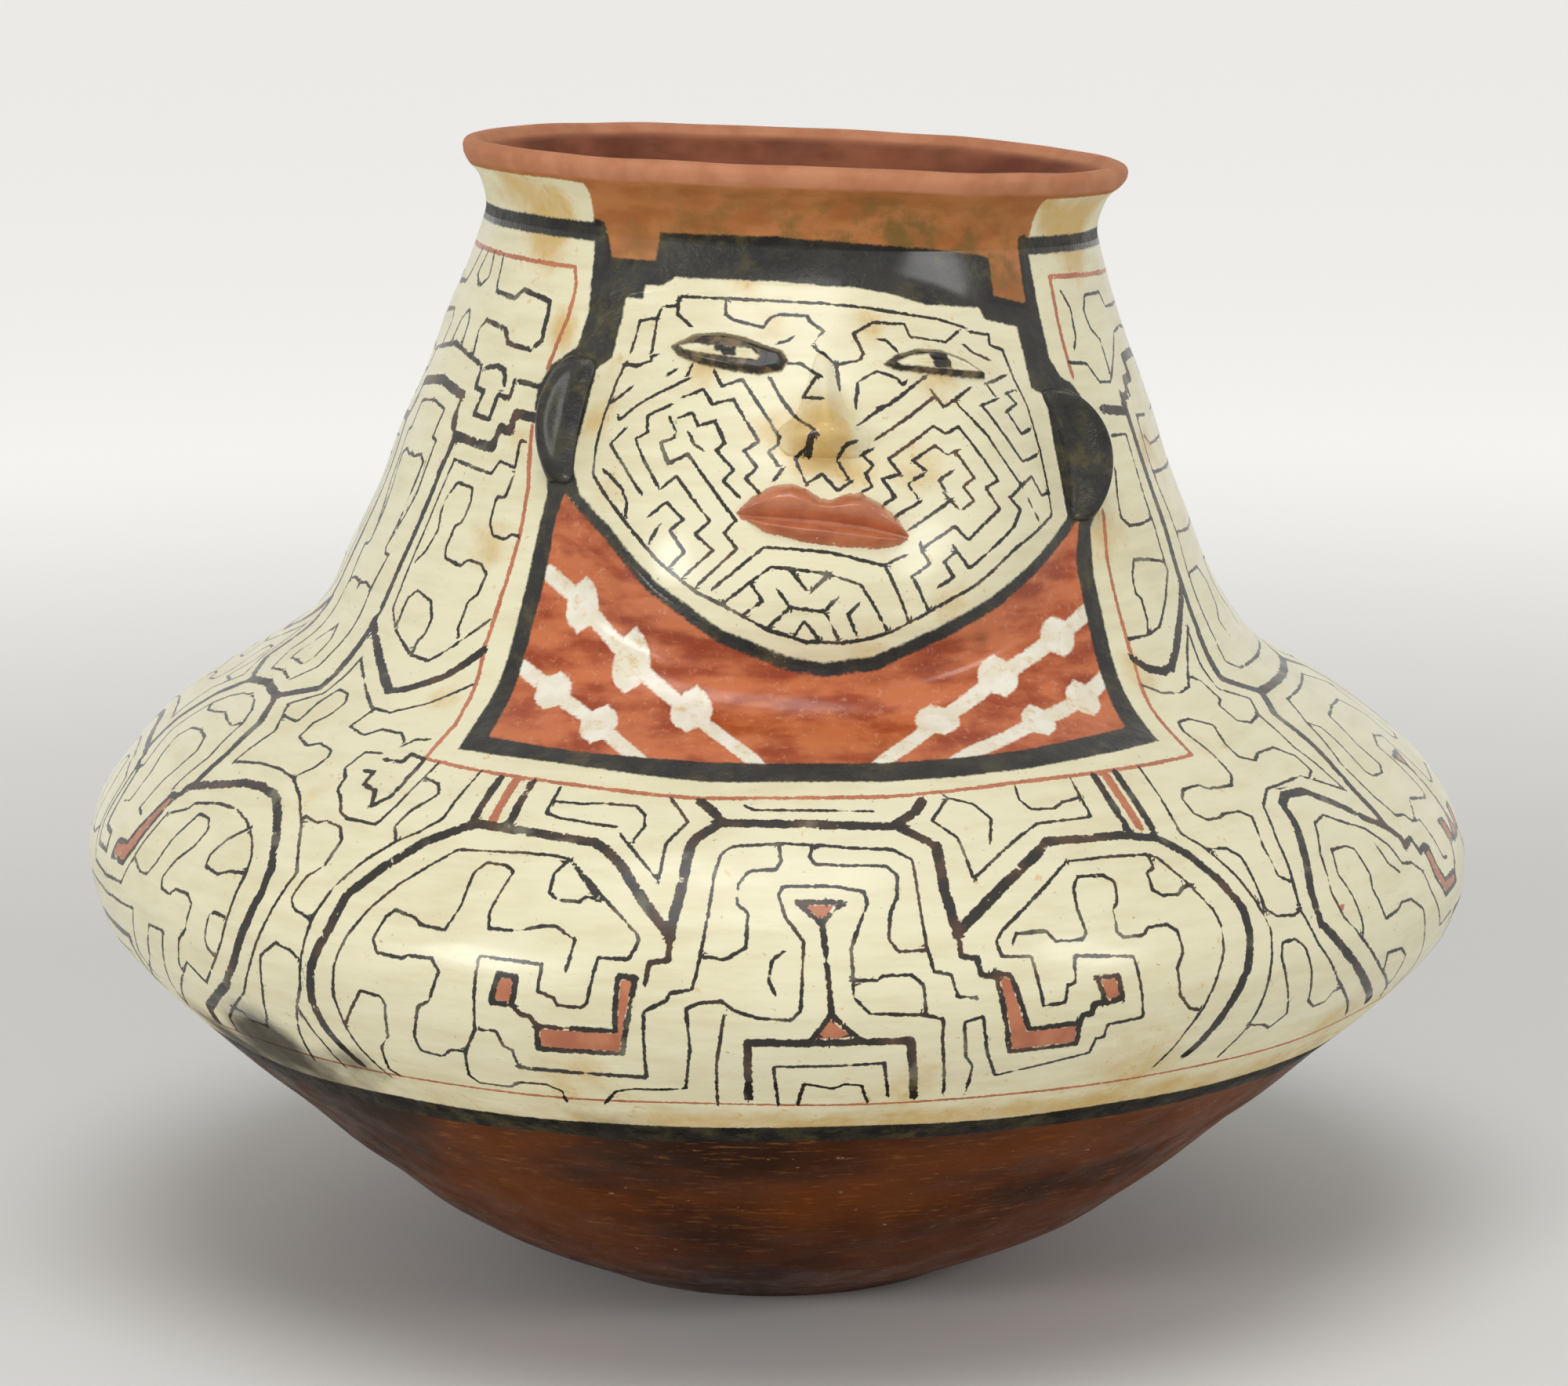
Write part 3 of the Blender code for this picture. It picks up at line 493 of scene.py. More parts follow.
faceLines = {
    "fine": [
        [-23.5, 357.8, -10, 357.8, 0, 357.5, 8, 356.5, 15, 355, 20, 354, 25, 351.8],
        [26, 350.7, 29.9, 350, 29.5, 347.3, 32, 346, 32.6, 338, 34.1, 331.3, 34.6, 324.6, 34.8, 320,
         34.4, 310, 34.1, 303.6, 30.5, 300, 25.2, 294.8, 19.1, 286.3, 12.4, 279.6, 7.7, 275, 5, 273.5,
         2, 272.7, -2, 272.9, -6.4, 275.3, -11.4, 280.3, -14.8, 283.4, -19.8, 290.5, -25, 300,
         -29.6, 308, -31.6, 311.5, -32.3, 318.4, -32.4, 322.5, -32.3, 326.7, -31.4, 335.5, -30.6, 339.8],
        [-30.2, 343, -30.2, 351, -27, 352, -26.8, 355, -24.3, 355.2, -23.6, 357.8],
        [-27, 351.5, -26.3, 343], [-30.8, 339.6, -28.4, 339.2, -26, 340.5, -26.2, 341.7, -25.3, 342.1],
        [-24, 357, -23.5, 353, -22, 351.5, -20.8, 350.2],
        [-15.7, 357.8, -15.3, 353.5, -13.5, 352, -11, 351.2, -9, 350.5, -8, 353.3, -6.5, 354.2,
         -2.2, 354, -1.8, 352.5, 0.3, 350, -1, 347],
        [23.5, 350.8, 20.5, 347.8, 14.3, 349, 13.8, 352.5, 8.5, 352.7, 5, 349.5, 6.3, 344, 5.5, 342.2,
         2, 341, -1.2, 345.5],
        [-6.5, 346.2, -5.2, 347, -4.5, 348], [9, 348, 10.2, 347.8, 11.5, 345],
        [24, 347, 25.5, 345, 28.3, 343.4], [-4.8, 340.8, -3.2, 341, -1.5, 339, -0.5, 337.2],
        [2, 341.2, 2.3, 334.5], [-1, 337.2, -2.3, 333.5, -2.8, 332.2, -0.5, 330.8],
        [4.4, 330, 5, 336.5, 5.8, 337.5, 8, 339.4, 10.9, 337.5, 11.4, 335.7, 12.1, 336.7],
        [15.5, 338.4, 12.4, 334.8, 9.5, 331, 7.2, 328.8, 4.6, 325.3], [9.3, 330.6, 7.6, 330],
        [15.9, 334.4, 17.3, 330.3, 19.4, 332.3, 22.6, 335.5], [16.2, 333, 15.3, 332, 11.9, 327.8, 7, 322],
        [19.4, 332.3, 19.9, 330.5, 23.8, 323, 26, 316.7, 28.3, 310.7, 31, 313.2, 32.4, 308.4,
         34.4, 309.2],
        [28.3, 310.7, 25.6, 307.5, 27.1, 304.6, 25.6, 300.5, 18, 290, 16, 295.2],
        [16.2, 294, 14.5, 291.7, 15.8, 287.9, 13.7, 285.5],
        [11.6, 295.9, 11.7, 294.2, 12.7, 291, 10.3, 287.9, 12.4, 279.6],
        [11.7, 294.6, 16.4, 300.5, 18.1, 296.9, 20.5, 300.7, 23.5, 304.8, 21.7, 310, 24.1, 311.9,
         22.4, 316.7, 19.1, 325.3, 16.9, 323.4, 15.3, 325.5, 8.4, 317.1, 9.8, 313.4, 7.3, 312.1,
         8.8, 307.5, 7.3, 305.7],
        [18.4, 319.4, 16.6, 318.2, 15.1, 320.5, 11.6, 316.7, 13.1, 314.6],
        [18, 318.8, 20.2, 312.5, 18.3, 310.3, 19.6, 306.7, 17.4, 304.2, 15.5, 308.4],
        [17, 314.2, 14.9, 311.7, 15.5, 309.8], [12.8, 313.2, 10.6, 310.9, 11.6, 307.8],
        [12, 306.5, 8.7, 302.8], [16.4, 307.1, 10.3, 299.4], [30.9, 339.2, 26, 336.7, 26.9, 334],
        [27.4, 332.8, 23.9, 330.9, 29.8, 316.9, 33.7, 318.8],
        [32, 335.3, 29.8, 334.4, 31.4, 331.7, 28.7, 329.6, 31, 324, 33.4, 325.3],
        [29.2, 306.9, 30.5, 302.5], [6.3, 319.6, 4.9, 318, 6.3, 315.4, 5.2, 313.3, 6, 310, 4.7, 308.8],
        [-2, 319.2, -3.7, 316.7, -2.3, 310.4, -0.3, 313, 1.6, 308.8, 3.3, 311.3], [1.9, 315.8, 3, 312],
        [3.8, 320.4, 2.4, 319.2, 1.8, 317], [-31.4, 329.8, -28.4, 333.6],
        [-29.6, 326.3, -29.2, 325.3, -26.7, 329, -24.5, 331.3, -19.2, 336], [-22.6, 337.1, -21.6, 338.2],
        [-19.1, 339.6, -19.5, 337.1],
        [-15.5, 338, -14.1, 334.2, -11.3, 336.3, -9.8, 332.5, -7, 325.5, -5.8, 321.7, -5.9, 320,
         -7.1, 318.2, -5.8, 314.8],
        [-5.2, 314, -6.2, 311.3], [-7.4, 336.7, -5.6, 331.3, -3.8, 327.1, -1.2, 321.1],
        [-19.5, 331.3, -16.7, 333.4, -15.1, 329.6, -12.3, 331.1, -8.4, 320.7, -10.2, 318.2, -8.4, 314.2,
         -9.8, 311.3, -8, 308],
        [-19.9, 325.7, -17.8, 327.3, -16.7, 324, -14.5, 325.5, -12.8, 320, -13.9, 318.2, -11.3, 313.4,
         -12.6, 310.7, -10.5, 306.9],
        [-20.9, 325.7, -19.6, 322.5, -19.8, 320.9, -21.6, 319.6, -20.1, 314.4, -17.6, 317.1,
         -14.2, 309.6, -10.6, 300.9, -11.9, 297.8, -10.3, 294, -14.6, 285.3],
        [-17.8, 322.1, -17, 319.6, -15.8, 318.2],
        [-21.2, 329.2, -24.6, 326.3, -23.9, 322.1, -25.6, 320.5, -24.2, 316.3, -22, 311.3, -21.2, 309.2],
        [-27.8, 323, -29.8, 319.2, -27, 314.6, -23.3, 307.1],
        [-29.8, 312.5, -28.7, 311.5, -26.2, 308, -25.2, 305, -25.1, 301.7],
        [-20.5, 308.4, -18.7, 311.5, -13.8, 300.7, -15.5, 297.3, -13.1, 293.6, -16.4, 287.3],
        [-21.7, 301.7, -19.6, 305, -17.1, 300.9, -18.7, 298, -16.6, 293, -18.2, 289.6],
        [-20.2, 299.2, -21.2, 295.5],
        [-12.8, 284.4, -7.1, 294.4, -4.5, 294.2, 0.2, 293.4, 7, 290.3, 7.6, 288, 9.8, 277.8],
        [7, 290.5, 9.6, 293], [-11.7, 280.7, -6.2, 289.6, -4.1, 289.2, 0.2, 288, 4.1, 285.5, 7.3, 275.5],
        [-4.1, 289, -2.1, 284], [0.5, 288, -1.5, 283.8], [-8.5, 285.7, -7.1, 281.3, -9.4, 278.2],
        [-5.3, 283.8, -3.9, 280, -6.4, 275.7], [-3.9, 280, 0, 279.3, 1.3, 282], [0, 279.3, 1.6, 273.8],
        [-3.4, 273.7, -2.3, 277.3, -0.6, 273.7], [3.8, 280.8, 2.7, 278.7, 3.6, 275],
    ],
    "firm": [[-1.9, 320.6, -2, 317.6]],
    "chin": [
        [-37, 309.5, -28, 298, -20, 284, -12, 274, -4, 268.5, 0, 267.3, 6, 268.5, 14, 275, 22, 282.5,
         30, 292, 39, 302.5],
    ],
}
borderLines = {
    "redLine": [
        [-180, 362.5, -75, 363, -46, 362.5, -44.7, 358, -44.4, 350, -45.8, 337],
        [-45.5, 322, -43.3, 308, -42.6, 295, -42.6, 267, -41, 255, -39.8, 243, -40, 230.5, -35, 229.5,
         -25, 228, -12, 226, 5, 227, 18, 230.5, 33, 232.5, 39.4, 233.5, 39.8, 240, 40.5, 252, 42, 263,
         43, 277, 44, 293, 45.7, 303],
        [46.7, 338, 46.8, 350, 47, 363.5, 75, 362.5, 180, 362.5],
    ],
}

# Filled shapes of the head, in the same unrolled measure
faceZones = {
    "hair": [
        -42, 366, -29.3, 366, -29.3, 373, -8, 373.6, 2, 373, 20, 371.7, 31, 369.8, 32.3, 369,
        32.3, 359.6, 39.5, 357.3, 40, 352, 36.3, 351.7, 29.9, 353.8, 29.1, 356.3, 28.6, 357,
        18.6, 357.7, 11.3, 360.7, 5.8, 361.8, -6.4, 362.7, -13.7, 362.7, -25.3, 362.5, -27.3, 360.2,
        -30.6, 360, -30.6, 356.5, -34, 356.5, -41, 356.5,
    ],
    "leftFrame": [
        -43.3, 375, -41, 374.5, -38.3, 366, -33.8, 356.5, -33.7, 341, -36.2, 338.3, -36.2, 313.7,
        -33, 306, -36.5, 306.5, -37.3, 300, -36.6, 280, -36.5, 265, -35, 241, -37.2, 235, -38.5, 260,
        -39.7, 295, -39.7, 306.7, -41.2, 315, -43.7, 322, -46.2, 326.7, -46.8, 331.4, -45.3, 337.9,
        -41, 343.2, -40.5, 352.6, -41.6, 359.6, -42.7, 369,
    ],
    "rightFrame": [
        42, 375, 39.8, 374.5, 39.3, 356, 36.3, 351.7, 36.3, 335.8, 38.6, 334.2, 39.1, 330.8, 38, 303.3,
        40, 301.5, 37.6, 292, 37, 280, 36, 262, 34.5, 247, 37.2, 240.5, 38, 255, 39.5, 275, 40.5, 290,
        42, 299.6, 43.8, 303, 47, 310, 49, 320, 48.5, 329, 46, 336, 43.8, 338, 42.2, 343, 42.3, 369,
    ],
    "bibHem": [
        -36.5, 240.8, -12, 238, 5, 238.5, 20, 241.5, 36, 247, 37.3, 240.3, 20, 235, 5, 232, -12, 231.5,
        -27, 235, -37.2, 235.2,
    ],
    "bib": [
        -38, 309, -28, 297.6, -20, 283.8, -12, 273.8, -4, 268, 0, 267, 6, 268.2, 14, 274.6, 22, 282.2,
        30, 291.8, 40.4, 303, 37.6, 285, 36.5, 262, 35.5, 245, 20, 240, 5, 236, -12, 236, -35.5, 239,
        -37, 265, -37.4, 285,
    ],
    "browBand": [-30, 377, -29, 371.8, 2, 371.4, 20, 370, 32.4, 367.8, 33, 377],
    "leftTab": [-41, 374.5, -28, 374.5, -28, 364.5, -39, 364.5],
    "rightTab": [31, 374, 40.5, 374, 40.1, 355.8, 31, 358],
    "seam": [
        -33.5, 357, -35.5, 340, -37, 325, -36.5, 309, -28, 298, -20, 284, -12, 274, -4, 268.5, 0, 267.3,
        6, 268.5, 14, 275, 22, 282.5, 30, 292, 37.5, 302.5, 38.5, 320, 37, 338, 34.5, 354.5, 20, 358.5,
        0, 362, -20, 361.5,
    ],
}

# Strings of pale beads on the bib: cord run, then where its beads sit and how tall and wide they are in mm
beadStrings = [
    {
        "cord": [-36.4, 287.5, -30, 280.5, -22.6, 268, -14.5, 256, -7.6, 240, -6.4, 236],
        "beads": [[-30.2, 280.3, 15, 9], [-22.6, 267.7, 18.5, 9.2], [-14.5, 256, 16.5, 10]],
    },
    {
        "cord": [-36.3, 263.5, -31, 258, -24.2, 249.5, -19.2, 239.5, -17.6, 236],
        "beads": [[-31, 258, 12.5, 9.5], [-24, 249, 14.5, 9]],
    },
    {
        "cord": [37.2, 279, 31.3, 273.6, 21.6, 265, 12.6, 253.9, 5.7, 240, 4.4, 236],
        "beads": [[31.3, 273.6, 12, 10], [21.6, 265, 12.5, 10.5], [12.6, 253.9, 12, 11]],
    },
    {
        "cord": [36.6, 262, 31.6, 256.8, 24.2, 251.3, 14.9, 242, 11.5, 237],
        "beads": [[31.6, 256.8, 12, 9.5], [24.2, 251.3, 11.5, 9]],
    },
]

# one bead's outline on a scale of one: nearly round, with a nub at top and bottom
beadOutline = [
    0, 0.47, 0.09, 0.41, 0.24, 0.36, 0.41, 0.22, 0.5, 0.02, 0.43, -0.2, 0.27, -0.34, 0.09, -0.41,
    0, -0.47, -0.1, -0.4, -0.28, -0.34, -0.44, -0.2, -0.5, 0, -0.43, 0.2, -0.26, 0.35, -0.08, 0.41,
]
eyeShapes = {
    "left": {
        "rim": [
            -23, 344.5, -19.5, 347.8, -15.5, 348.4, -12, 347.5, -8.5, 345.3, -6, 344, -5.2, 341.5,
            -6, 339, -9, 337.8, -13, 338.6, -18, 340.2, -21.5, 342.2,
        ],
        "white": [
            -21.3, 344.3, -19.5, 344.9, -15, 344.4, -10.5, 344.2, -9, 342, -9.5, 341.1, -13, 341.6,
            -18, 342.6, -20.5, 343.3,
        ],
        "iris": [-16, 344.8, -12.8, 344.4, -12.5, 342, -14.5, 342, -15, 343.1, -16, 343.4],
    },
    "right": {
        "rim": [
            9.2, 341.2, 11.5, 343.8, 15, 345.4, 19, 345.2, 23, 343, 26.2, 339.5, 25.8, 338.2, 20, 338.6,
            15, 339.4, 11, 339.9,
        ],
        "white": [
            10.8, 341.5, 13, 343.2, 16.5, 344, 19.5, 343.8, 22.5, 342, 24.8, 339.6, 20, 339.9,
            14.5, 340.5, 11.5, 340.8,
        ],
        "iris": [16.3, 344.2, 19.3, 344.2, 19.8, 340.2, 16.8, 340],
    },
}
eyeCorner = [-9.6, 344.8, -6.2, 344, -5.2, 341.5, -6, 339.1, -9.6, 339.4, -8.8, 342]
lipShapes = {
    "upper": [
        -10.6, 302.6, -9, 306.5, -6.5, 309.6, -4, 310.4, -2.3, 309.2, -0.5, 306.9, 0.6, 306.6,
        2.5, 308.1, 4.6, 308.4, 7, 305.6, 9, 301.6, 10.2, 297.6, 5, 300, 0, 301.4, -5, 302, -8, 302.2,
    ],
    "lower": [
        -9.8, 301.6, -7, 298, -3, 296, 2, 294.8, 6, 294.2, 9, 295.6, 10, 297, 5, 299, 0, 300.3, -5, 301,
    ],
}
lipSlit = [
    -10.6, 302.6, -8, 303, -5, 302.8, 0, 302.2, 5, 300.8, 10.2, 298.2, 10, 296.4, 5, 298.2, 0, 299.5,
    -5, 300.2, -9.8, 301,
]

# Stains of old resin and smoke, and painted shadow under the chin: degree, climb, spread in mm, strength
resinStains = [
    [0, 324, 9, 1.0], [-33.5, 325, 6, 0.8], [-28, 308, 6, 0.6], [17.5, 337.5, 8, 0.8],
    [-17.5, 338.5, 6, 0.7], [15, 281, 6, 0.6], [5, 270, 6, 0.6], [8, 352, 8, 0.6], [12, 315, 9, 0.7],
    [-44.5, 347, 6, 0.9], [-47, 292, 9, 0.7], [45, 297, 9, 0.8], [42, 262, 8, 0.7], [65, 318, 10, 0.7],
    [-12, 363, 7, 0.6], [56, 367, 9, 0.6], [-54, 367, 9, 0.7], [-20, 148, 14, 0.7], [25, 150, 16, 0.7],
    [4, 146, 18, 0.6], [48, 148, 14, 0.6], [-60, 378, 12, 0.8], [58, 379, 12, 0.9], [-2, 318, 6, 0.8],
    [4, 313, 5, 0.7], [-8, 325, 5, 0.6], [-33, 340, 5, 0.6], [28, 340, 6, 0.6], [-8, 351, 6, 0.5],
    [-45, 250, 8, 0.6], [-47.5, 320, 6, 0.6], [42, 236, 7, 0.5], [-34, 232, 7, 0.4], [-48, 214, 10, 0.5],
    [-24, 292, 6, 0.4], [75, 300, 14, 0.4], [-67, 384, 6, 0.6], [-51, 377, 6, 0.8], [-75, 379, 7, 0.5],
    [48, 378, 6, 0.8], [68, 384, 6, 0.6], [44, 384, 5, 0.7],
]
browShades = [
    [-20, 374, 12, 0.8], [-4, 373, 12, 0.7], [10, 374, 13, 0.9], [24, 373, 12, 0.9], [36, 366, 9, 0.8],
    [-35, 369, 8, 0.5],
]
# fire clouds of smoke; the last three blobs are painted shadow under the chin
smokeAndChinShade = [
    [-51, 146, 13, 0.95], [-40, 147, 8, 0.45], [-62, 134, 16, 0.7], [-48, 112, 34, 0.85],
    [-20, 116, 24, 0.55], [-75, 80, 40, 0.6], [35, 120, 22, 0.35], [60, 70, 40, 0.4], [10, 40, 26, 0.35],
    [120, 100, 45, 0.7], [170, 60, 40, 0.5], [-140, 110, 45, 0.6], [13, 266.5, 5, 0.42],
    [20, 273.5, 5, 0.36], [-26, 285.5, 5, 0.34],
]


def pairs(run):
    return np.reshape(np.array(run, float), (-1, 2))


def joinedUp(run):
    return np.concatenate([run, run[:1]])


def mirrored(strokes, about):
    return [(kind, np.stack([2 * about - run[:, 0], run[:, 1]], axis=-1)) for kind, run in strokes]


def listed(*groups):
    strokes = []
    for group in groups:
        for kind, runs in group.items():
            for run in map(pairs, runs):
                if kind == "redBox":
                    strokes += [("firm", joinedUp(run)), ("redFill", run)]
                else:
                    strokes.append((kind, run))
    return strokes


sideTiles = {"middle": 73.5, "border": 109.0}       # degrees at which the side panels are mirrored
keelLine = {"climb": 143.7, "sway": 1.5, "turn": 50, "step": 2.0}


def allStrokes():
    # the flanks follow the photograph as far as it shows them, and the back repeats them mirrored
    strokes = listed(archRight, hexRight, frontLeft, frontRight, faceLines, borderLines)
    step = np.array([180 - sideTiles["border"], 0.0])
    for side, half, joint in ((1, panelRight, seamRight), (-1, panelLeft, seamLeft)):
        panel, seam = listed(half), listed(joint)
        further = mirrored(panel, sideTiles["middle"] * side)
        # no red shows past the middle of the left flank
        tile = panel + [(kind, run) for kind, run in further if side > 0 or kind != "redFill"]
        behind = mirrored(tile + seam, sideTiles["border"] * side)
        strokes += tile + seam + behind + [(kind, run + step * side) for kind, run in seam]
    around = np.arange(-180, 180.1, keelLine["step"])
    wave = keelLine["climb"] + keelLine["sway"] * np.sin(np.radians(around - keelLine["turn"]))
    strokes.append(("redFine", np.stack([around, wave], axis=-1)))
    return strokes


class PaintGrid:
    # vertices of one piece on the unrolled skin, sorted by degree so each stroke touches only its own few
    narrowest = 1.3                 # mm to a degree at the narrowest neck
    halfTurn = 185                  # degrees, with a little over

    def __init__(self, theta, climb):
        self.degrees, self.climb = np.degrees(theta), climb
        self.perDegree = radiusMm(climb) * math.pi / 180
        self.order = np.argsort(self.degrees)
        self.sortedDegrees = self.degrees[self.order]

    def near(self, run, reach):
        margin = reach / self.narrowest
        ends = [run[:, 0].min() - margin, run[:, 0].max() + margin]
        first, last = np.searchsorted(self.sortedDegrees, ends)
        few = self.order[first:last]
        low, high = run[:, 1].min() - reach, run[:, 1].max() + reach
        return few[(self.climb[few] > low) & (self.climb[few] < high)]

    def runDistance(self, few, run):
        # distance in mm to a run of straight brush strokes, and which side of it
        best = np.full(len(few), 1e3)
        side = np.ones(len(few))
        scale = self.perDegree[few]
        for start, end in zip(run[:-1], run[1:]):
            ax, ay = (start[0] - self.degrees[few]) * scale, start[1] - self.climb[few]
            dx, dy = (end[0] - start[0]) * scale, end[1] - start[1]
            share = np.clip(-(ax * dx + ay * dy) / np.maximum(dx * dx + dy * dy, 1e-9), 0, 1)
            away = np.hypot(ax + share * dx, ay + share * dy)
            closer = away < best
            best = np.where(closer, away, best)
            side = np.where(closer, np.where(dy * ax - dx * ay < 0, -1.0, 1.0), side)
        return best, side

    def zoneDistance(self, outline, reach=6.0):
        # negative inside a filled outline
        run = joinedUp(pairs(outline))
        distance = np.full(len(self.degrees), reach)
        few = self.near(run, reach)
        away = self.runDistance(few, run)[0]
        inside = np.zeros(len(few), bool)
        x, y = self.degrees[few], self.climb[few]
        for start, end in zip(run[:-1], run[1:]):
            spans = (start[1] > y) != (end[1] > y)
            rise = end[1] - start[1]
            cross = start[0] + (y - start[1]) * (end[0] - start[0]) / (rise if rise else 1e-9)
            inside ^= spans & (x < cross)
        distance[few] = np.clip(np.where(inside, -away, away), -reach, reach)
        return distance

    def strokeField(self, strokes, reach=3.0):
        # how far each vertex is from the nearest line's edge, with 0.5 at the edge: signed, and unsigned
        across = np.full(len(self.degrees), reach)
        aside = np.full(len(self.degrees), reach)

        def lay(few, away, side, width):
            edge = np.maximum(away - 0.5 * width + 0.5, 0)
            closer = edge < aside[few]
            few, edge = few[closer], edge[closer]
            aside[few] = edge
            across[few] = edge * side[closer]

        for width, run, filled in strokes:
            for turn in (-360, 0, 360):
                placed = run + np.array([turn, 0])
                if placed[:, 0].max() < -self.halfTurn or placed[:, 0].min() > self.halfTurn:
                    continue
                if filled:
                    few = self.near(placed, reach)
                    if len(few):
                        lay(few, self.zoneDistance(placed.ravel())[few], np.ones(len(few)), width)
                    continue
                for start, end in zip(placed[:-1], placed[1:]):
                    part = np.stack([start, end])
                    few = self.near(part, reach + 0.5 * width)
                    if len(few):
                        lay(few, *self.runDistance(few, part), width)
        return across, aside


def brushed(*kinds):
    return [(brush[kind], run, kind == "redFill") for kind, run in paintStrokes if kind in kinds]


paintStrokes = allStrokes()
inkStrokes = brushed("fine", "firm", "stout", "broad")
chinStrokes = brushed("chin")
redStrokes = brushed("redFine", "redLine", "redFirm", "redFill")
redStrokes += [(0, pairs(outline), True) for outline in [*lipShapes.values(), lipSlit]]
beadStrokes = [(brush["cord"], pairs(string["cord"]), False) for string in beadStrings]
for string in beadStrings:
    for degree, climb, tall, wide in string["beads"]:
        perDegree = float(radiusMm(np.array([climb]))[0]) * math.pi / 180
        beadStrokes.append((0, pairs(beadOutline) * [wide / perDegree, tall] + [degree, climb], True))
print("brush work laid out:", len(inkStrokes), "black runs,", len(redStrokes), "red")


def blobField(grid, blobs):
    field = np.zeros(len(grid.degrees))
    for degree, climb, spread, strength in blobs:
        turn = (grid.degrees - degree + 180) % 360 - 180
        away = np.hypot(turn * grid.perDegree, grid.climb - climb) / spread
        field += strength * np.exp(-away * away)
    return np.clip(field, 0, 1)


def nearest(grid, outlines):
    distance = grid.zoneDistance(outlines[0])
    for outline in outlines[1:]:
        distance = np.minimum(distance, grid.zoneDistance(outline))
    return distance


# Where the bands and bare parts lie, in mm of climb and degrees from the face
paintPlan = {
    "neckBand": {"climb": 371.7, "half": 2.3, "gap": 41.5},
    "keelBand": {"climb": 126.4, "half": 3.9, "sway": 0.9, "waves": 2, "phase": 1.0},
    "bareBrow": {"climb": 373.4, "gap": 43},
    "bareRim": 385.5,
    "under": 126.5,
    "lidPaint": 0.3,                                # how far it laps over the lid's outline
    "grime": {"share": 0.62, "sway": 0.22, "waves": 3, "phase": 0.8, "fade": (146, 135)},
    "lipFade": {"outside": (2.2, 0.8), "inside": (0.5, 5.0)},       # mm below the lip
}
# What each paint layer says where a piece faces inward; the smoke layer there adds patches of painted shade
# inside the jar
insideLayers = {"inkAcross": 3, "inkNear": 3, "redAcross": 3, "redNear": 3, "beadEdge": 3, "blackEdge": 6,
                "clayEdge": -6, "bibEdge": 6, "lidEdge": 6, "underEdge": 6, "resin": 0, "smokeAndShade": 0.15,
                "browShade": 0}


def blackField(grid, theta):
    neckBand, keelBand = paintPlan["neckBand"], paintPlan["keelBand"]
    black = np.minimum(np.abs(grid.climb - neckBand["climb"]) - neckBand["half"], 6)
    black = np.maximum(black, (neckBand["gap"] - np.abs(grid.degrees)) * grid.perDegree)
    wave = keelBand["sway"] * np.sin(keelBand["waves"] * theta + keelBand["phase"])
    black = np.minimum(black, np.abs(grid.climb - keelBand["climb"] - wave) - keelBand["half"])
    filled = [faceZones[name] for name in ("hair", "leftFrame", "rightFrame", "bibHem")]
    filled += [shape["iris"] for shape in eyeShapes.values()] + [eyeCorner]
    black = np.minimum(black, nearest(grid, filled))
    return np.minimum(black, grid.strokeField(chinStrokes)[1] - 0.5)


def clayField(grid):
    bareBrow = paintPlan["bareBrow"]
    aside = (np.abs(grid.degrees) - bareBrow["gap"]) * grid.perDegree
    clay = np.maximum(bareBrow["climb"] - grid.climb, aside)
    clay = np.minimum(clay, paintPlan["bareRim"] - grid.climb)
    bare = [faceZones[name] for name in ("browBand", "leftTab", "rightTab")]
    return np.minimum(clay, nearest(grid, bare))


def lidField(grid):
    lids = []
    for shape in eyeShapes.values():
        rim = grid.zoneDistance(shape["rim"]) - paintPlan["lidPaint"]
        lids.append(np.maximum(rim, -grid.zoneDistance(shape["white"])))
    return np.minimum(*lids)


def resinField(grid, theta):
    grime = paintPlan["grime"]
    share = grime["share"] + grime["sway"] * np.sin(grime["waves"] * theta + grime["phase"])
    return np.maximum(blobField(grid, resinStains), share * smoothStep(*grime["fade"], grid.climb))


def mouthField(climb, outside):
    # 0 on the wall, up to 0.5 on the lip's outside, and 0.5 to 1 going down the inside: a paler lip, then
    # painted shade down the inside
    fade, lip = paintPlan["lipFade"], climbOf["lip"]
    over = 0.5 * smoothStep(lip - fade["outside"][0], lip - fade["outside"][1], climb)
    down = 0.5 + 0.5 * smoothStep(lip - fade["inside"][0], lip - fade["inside"][1], climb)
    return np.where(outside, over, down)


def writeLayer(mesh, name, values):
    mesh.attributes.new(name, "FLOAT", "POINT").data.foreach_set("value", values.astype(np.float32))


def paintPiece(mesh, theta, climb, outside):
    # writes every paint layer of one piece as a value per vertex, in mm
    grid = PaintGrid(theta, climb)
    ink, inkNear = grid.strokeField(inkStrokes)
    red, redNear = grid.strokeField(redStrokes)
    layers = {
        "inkAcross": ink, "inkNear": inkNear, "redAcross": red, "redNear": redNear,
        "beadEdge": grid.strokeField(beadStrokes)[1] - 0.5,
        "blackEdge": blackField(grid, theta), "clayEdge": clayField(grid),
        "bibEdge": grid.zoneDistance(faceZones["bib"]), "lidEdge": lidField(grid),
        "underEdge": climb - paintPlan["under"], "resin": resinField(grid, theta),
        "smokeAndShade": blobField(grid, smokeAndChinShade), "browShade": blobField(grid, browShades),
    }
    for name, values in layers.items():
        writeLayer(mesh, name, np.where(outside, values, insideLayers[name]))
    writeLayer(mesh, "mouthShade", mouthField(climb, outside))


def meshPoints(mesh):
    points = np.empty(len(mesh.vertices) * 3, np.float32)
    mesh.vertices.foreach_get("co", points)
    return points.reshape(-1, 3).astype(float)


def layerValues(mesh, name):
    values = np.empty(len(mesh.vertices), np.float32)
    mesh.attributes[name].data.foreach_get("value", values)
    return values.astype(float)


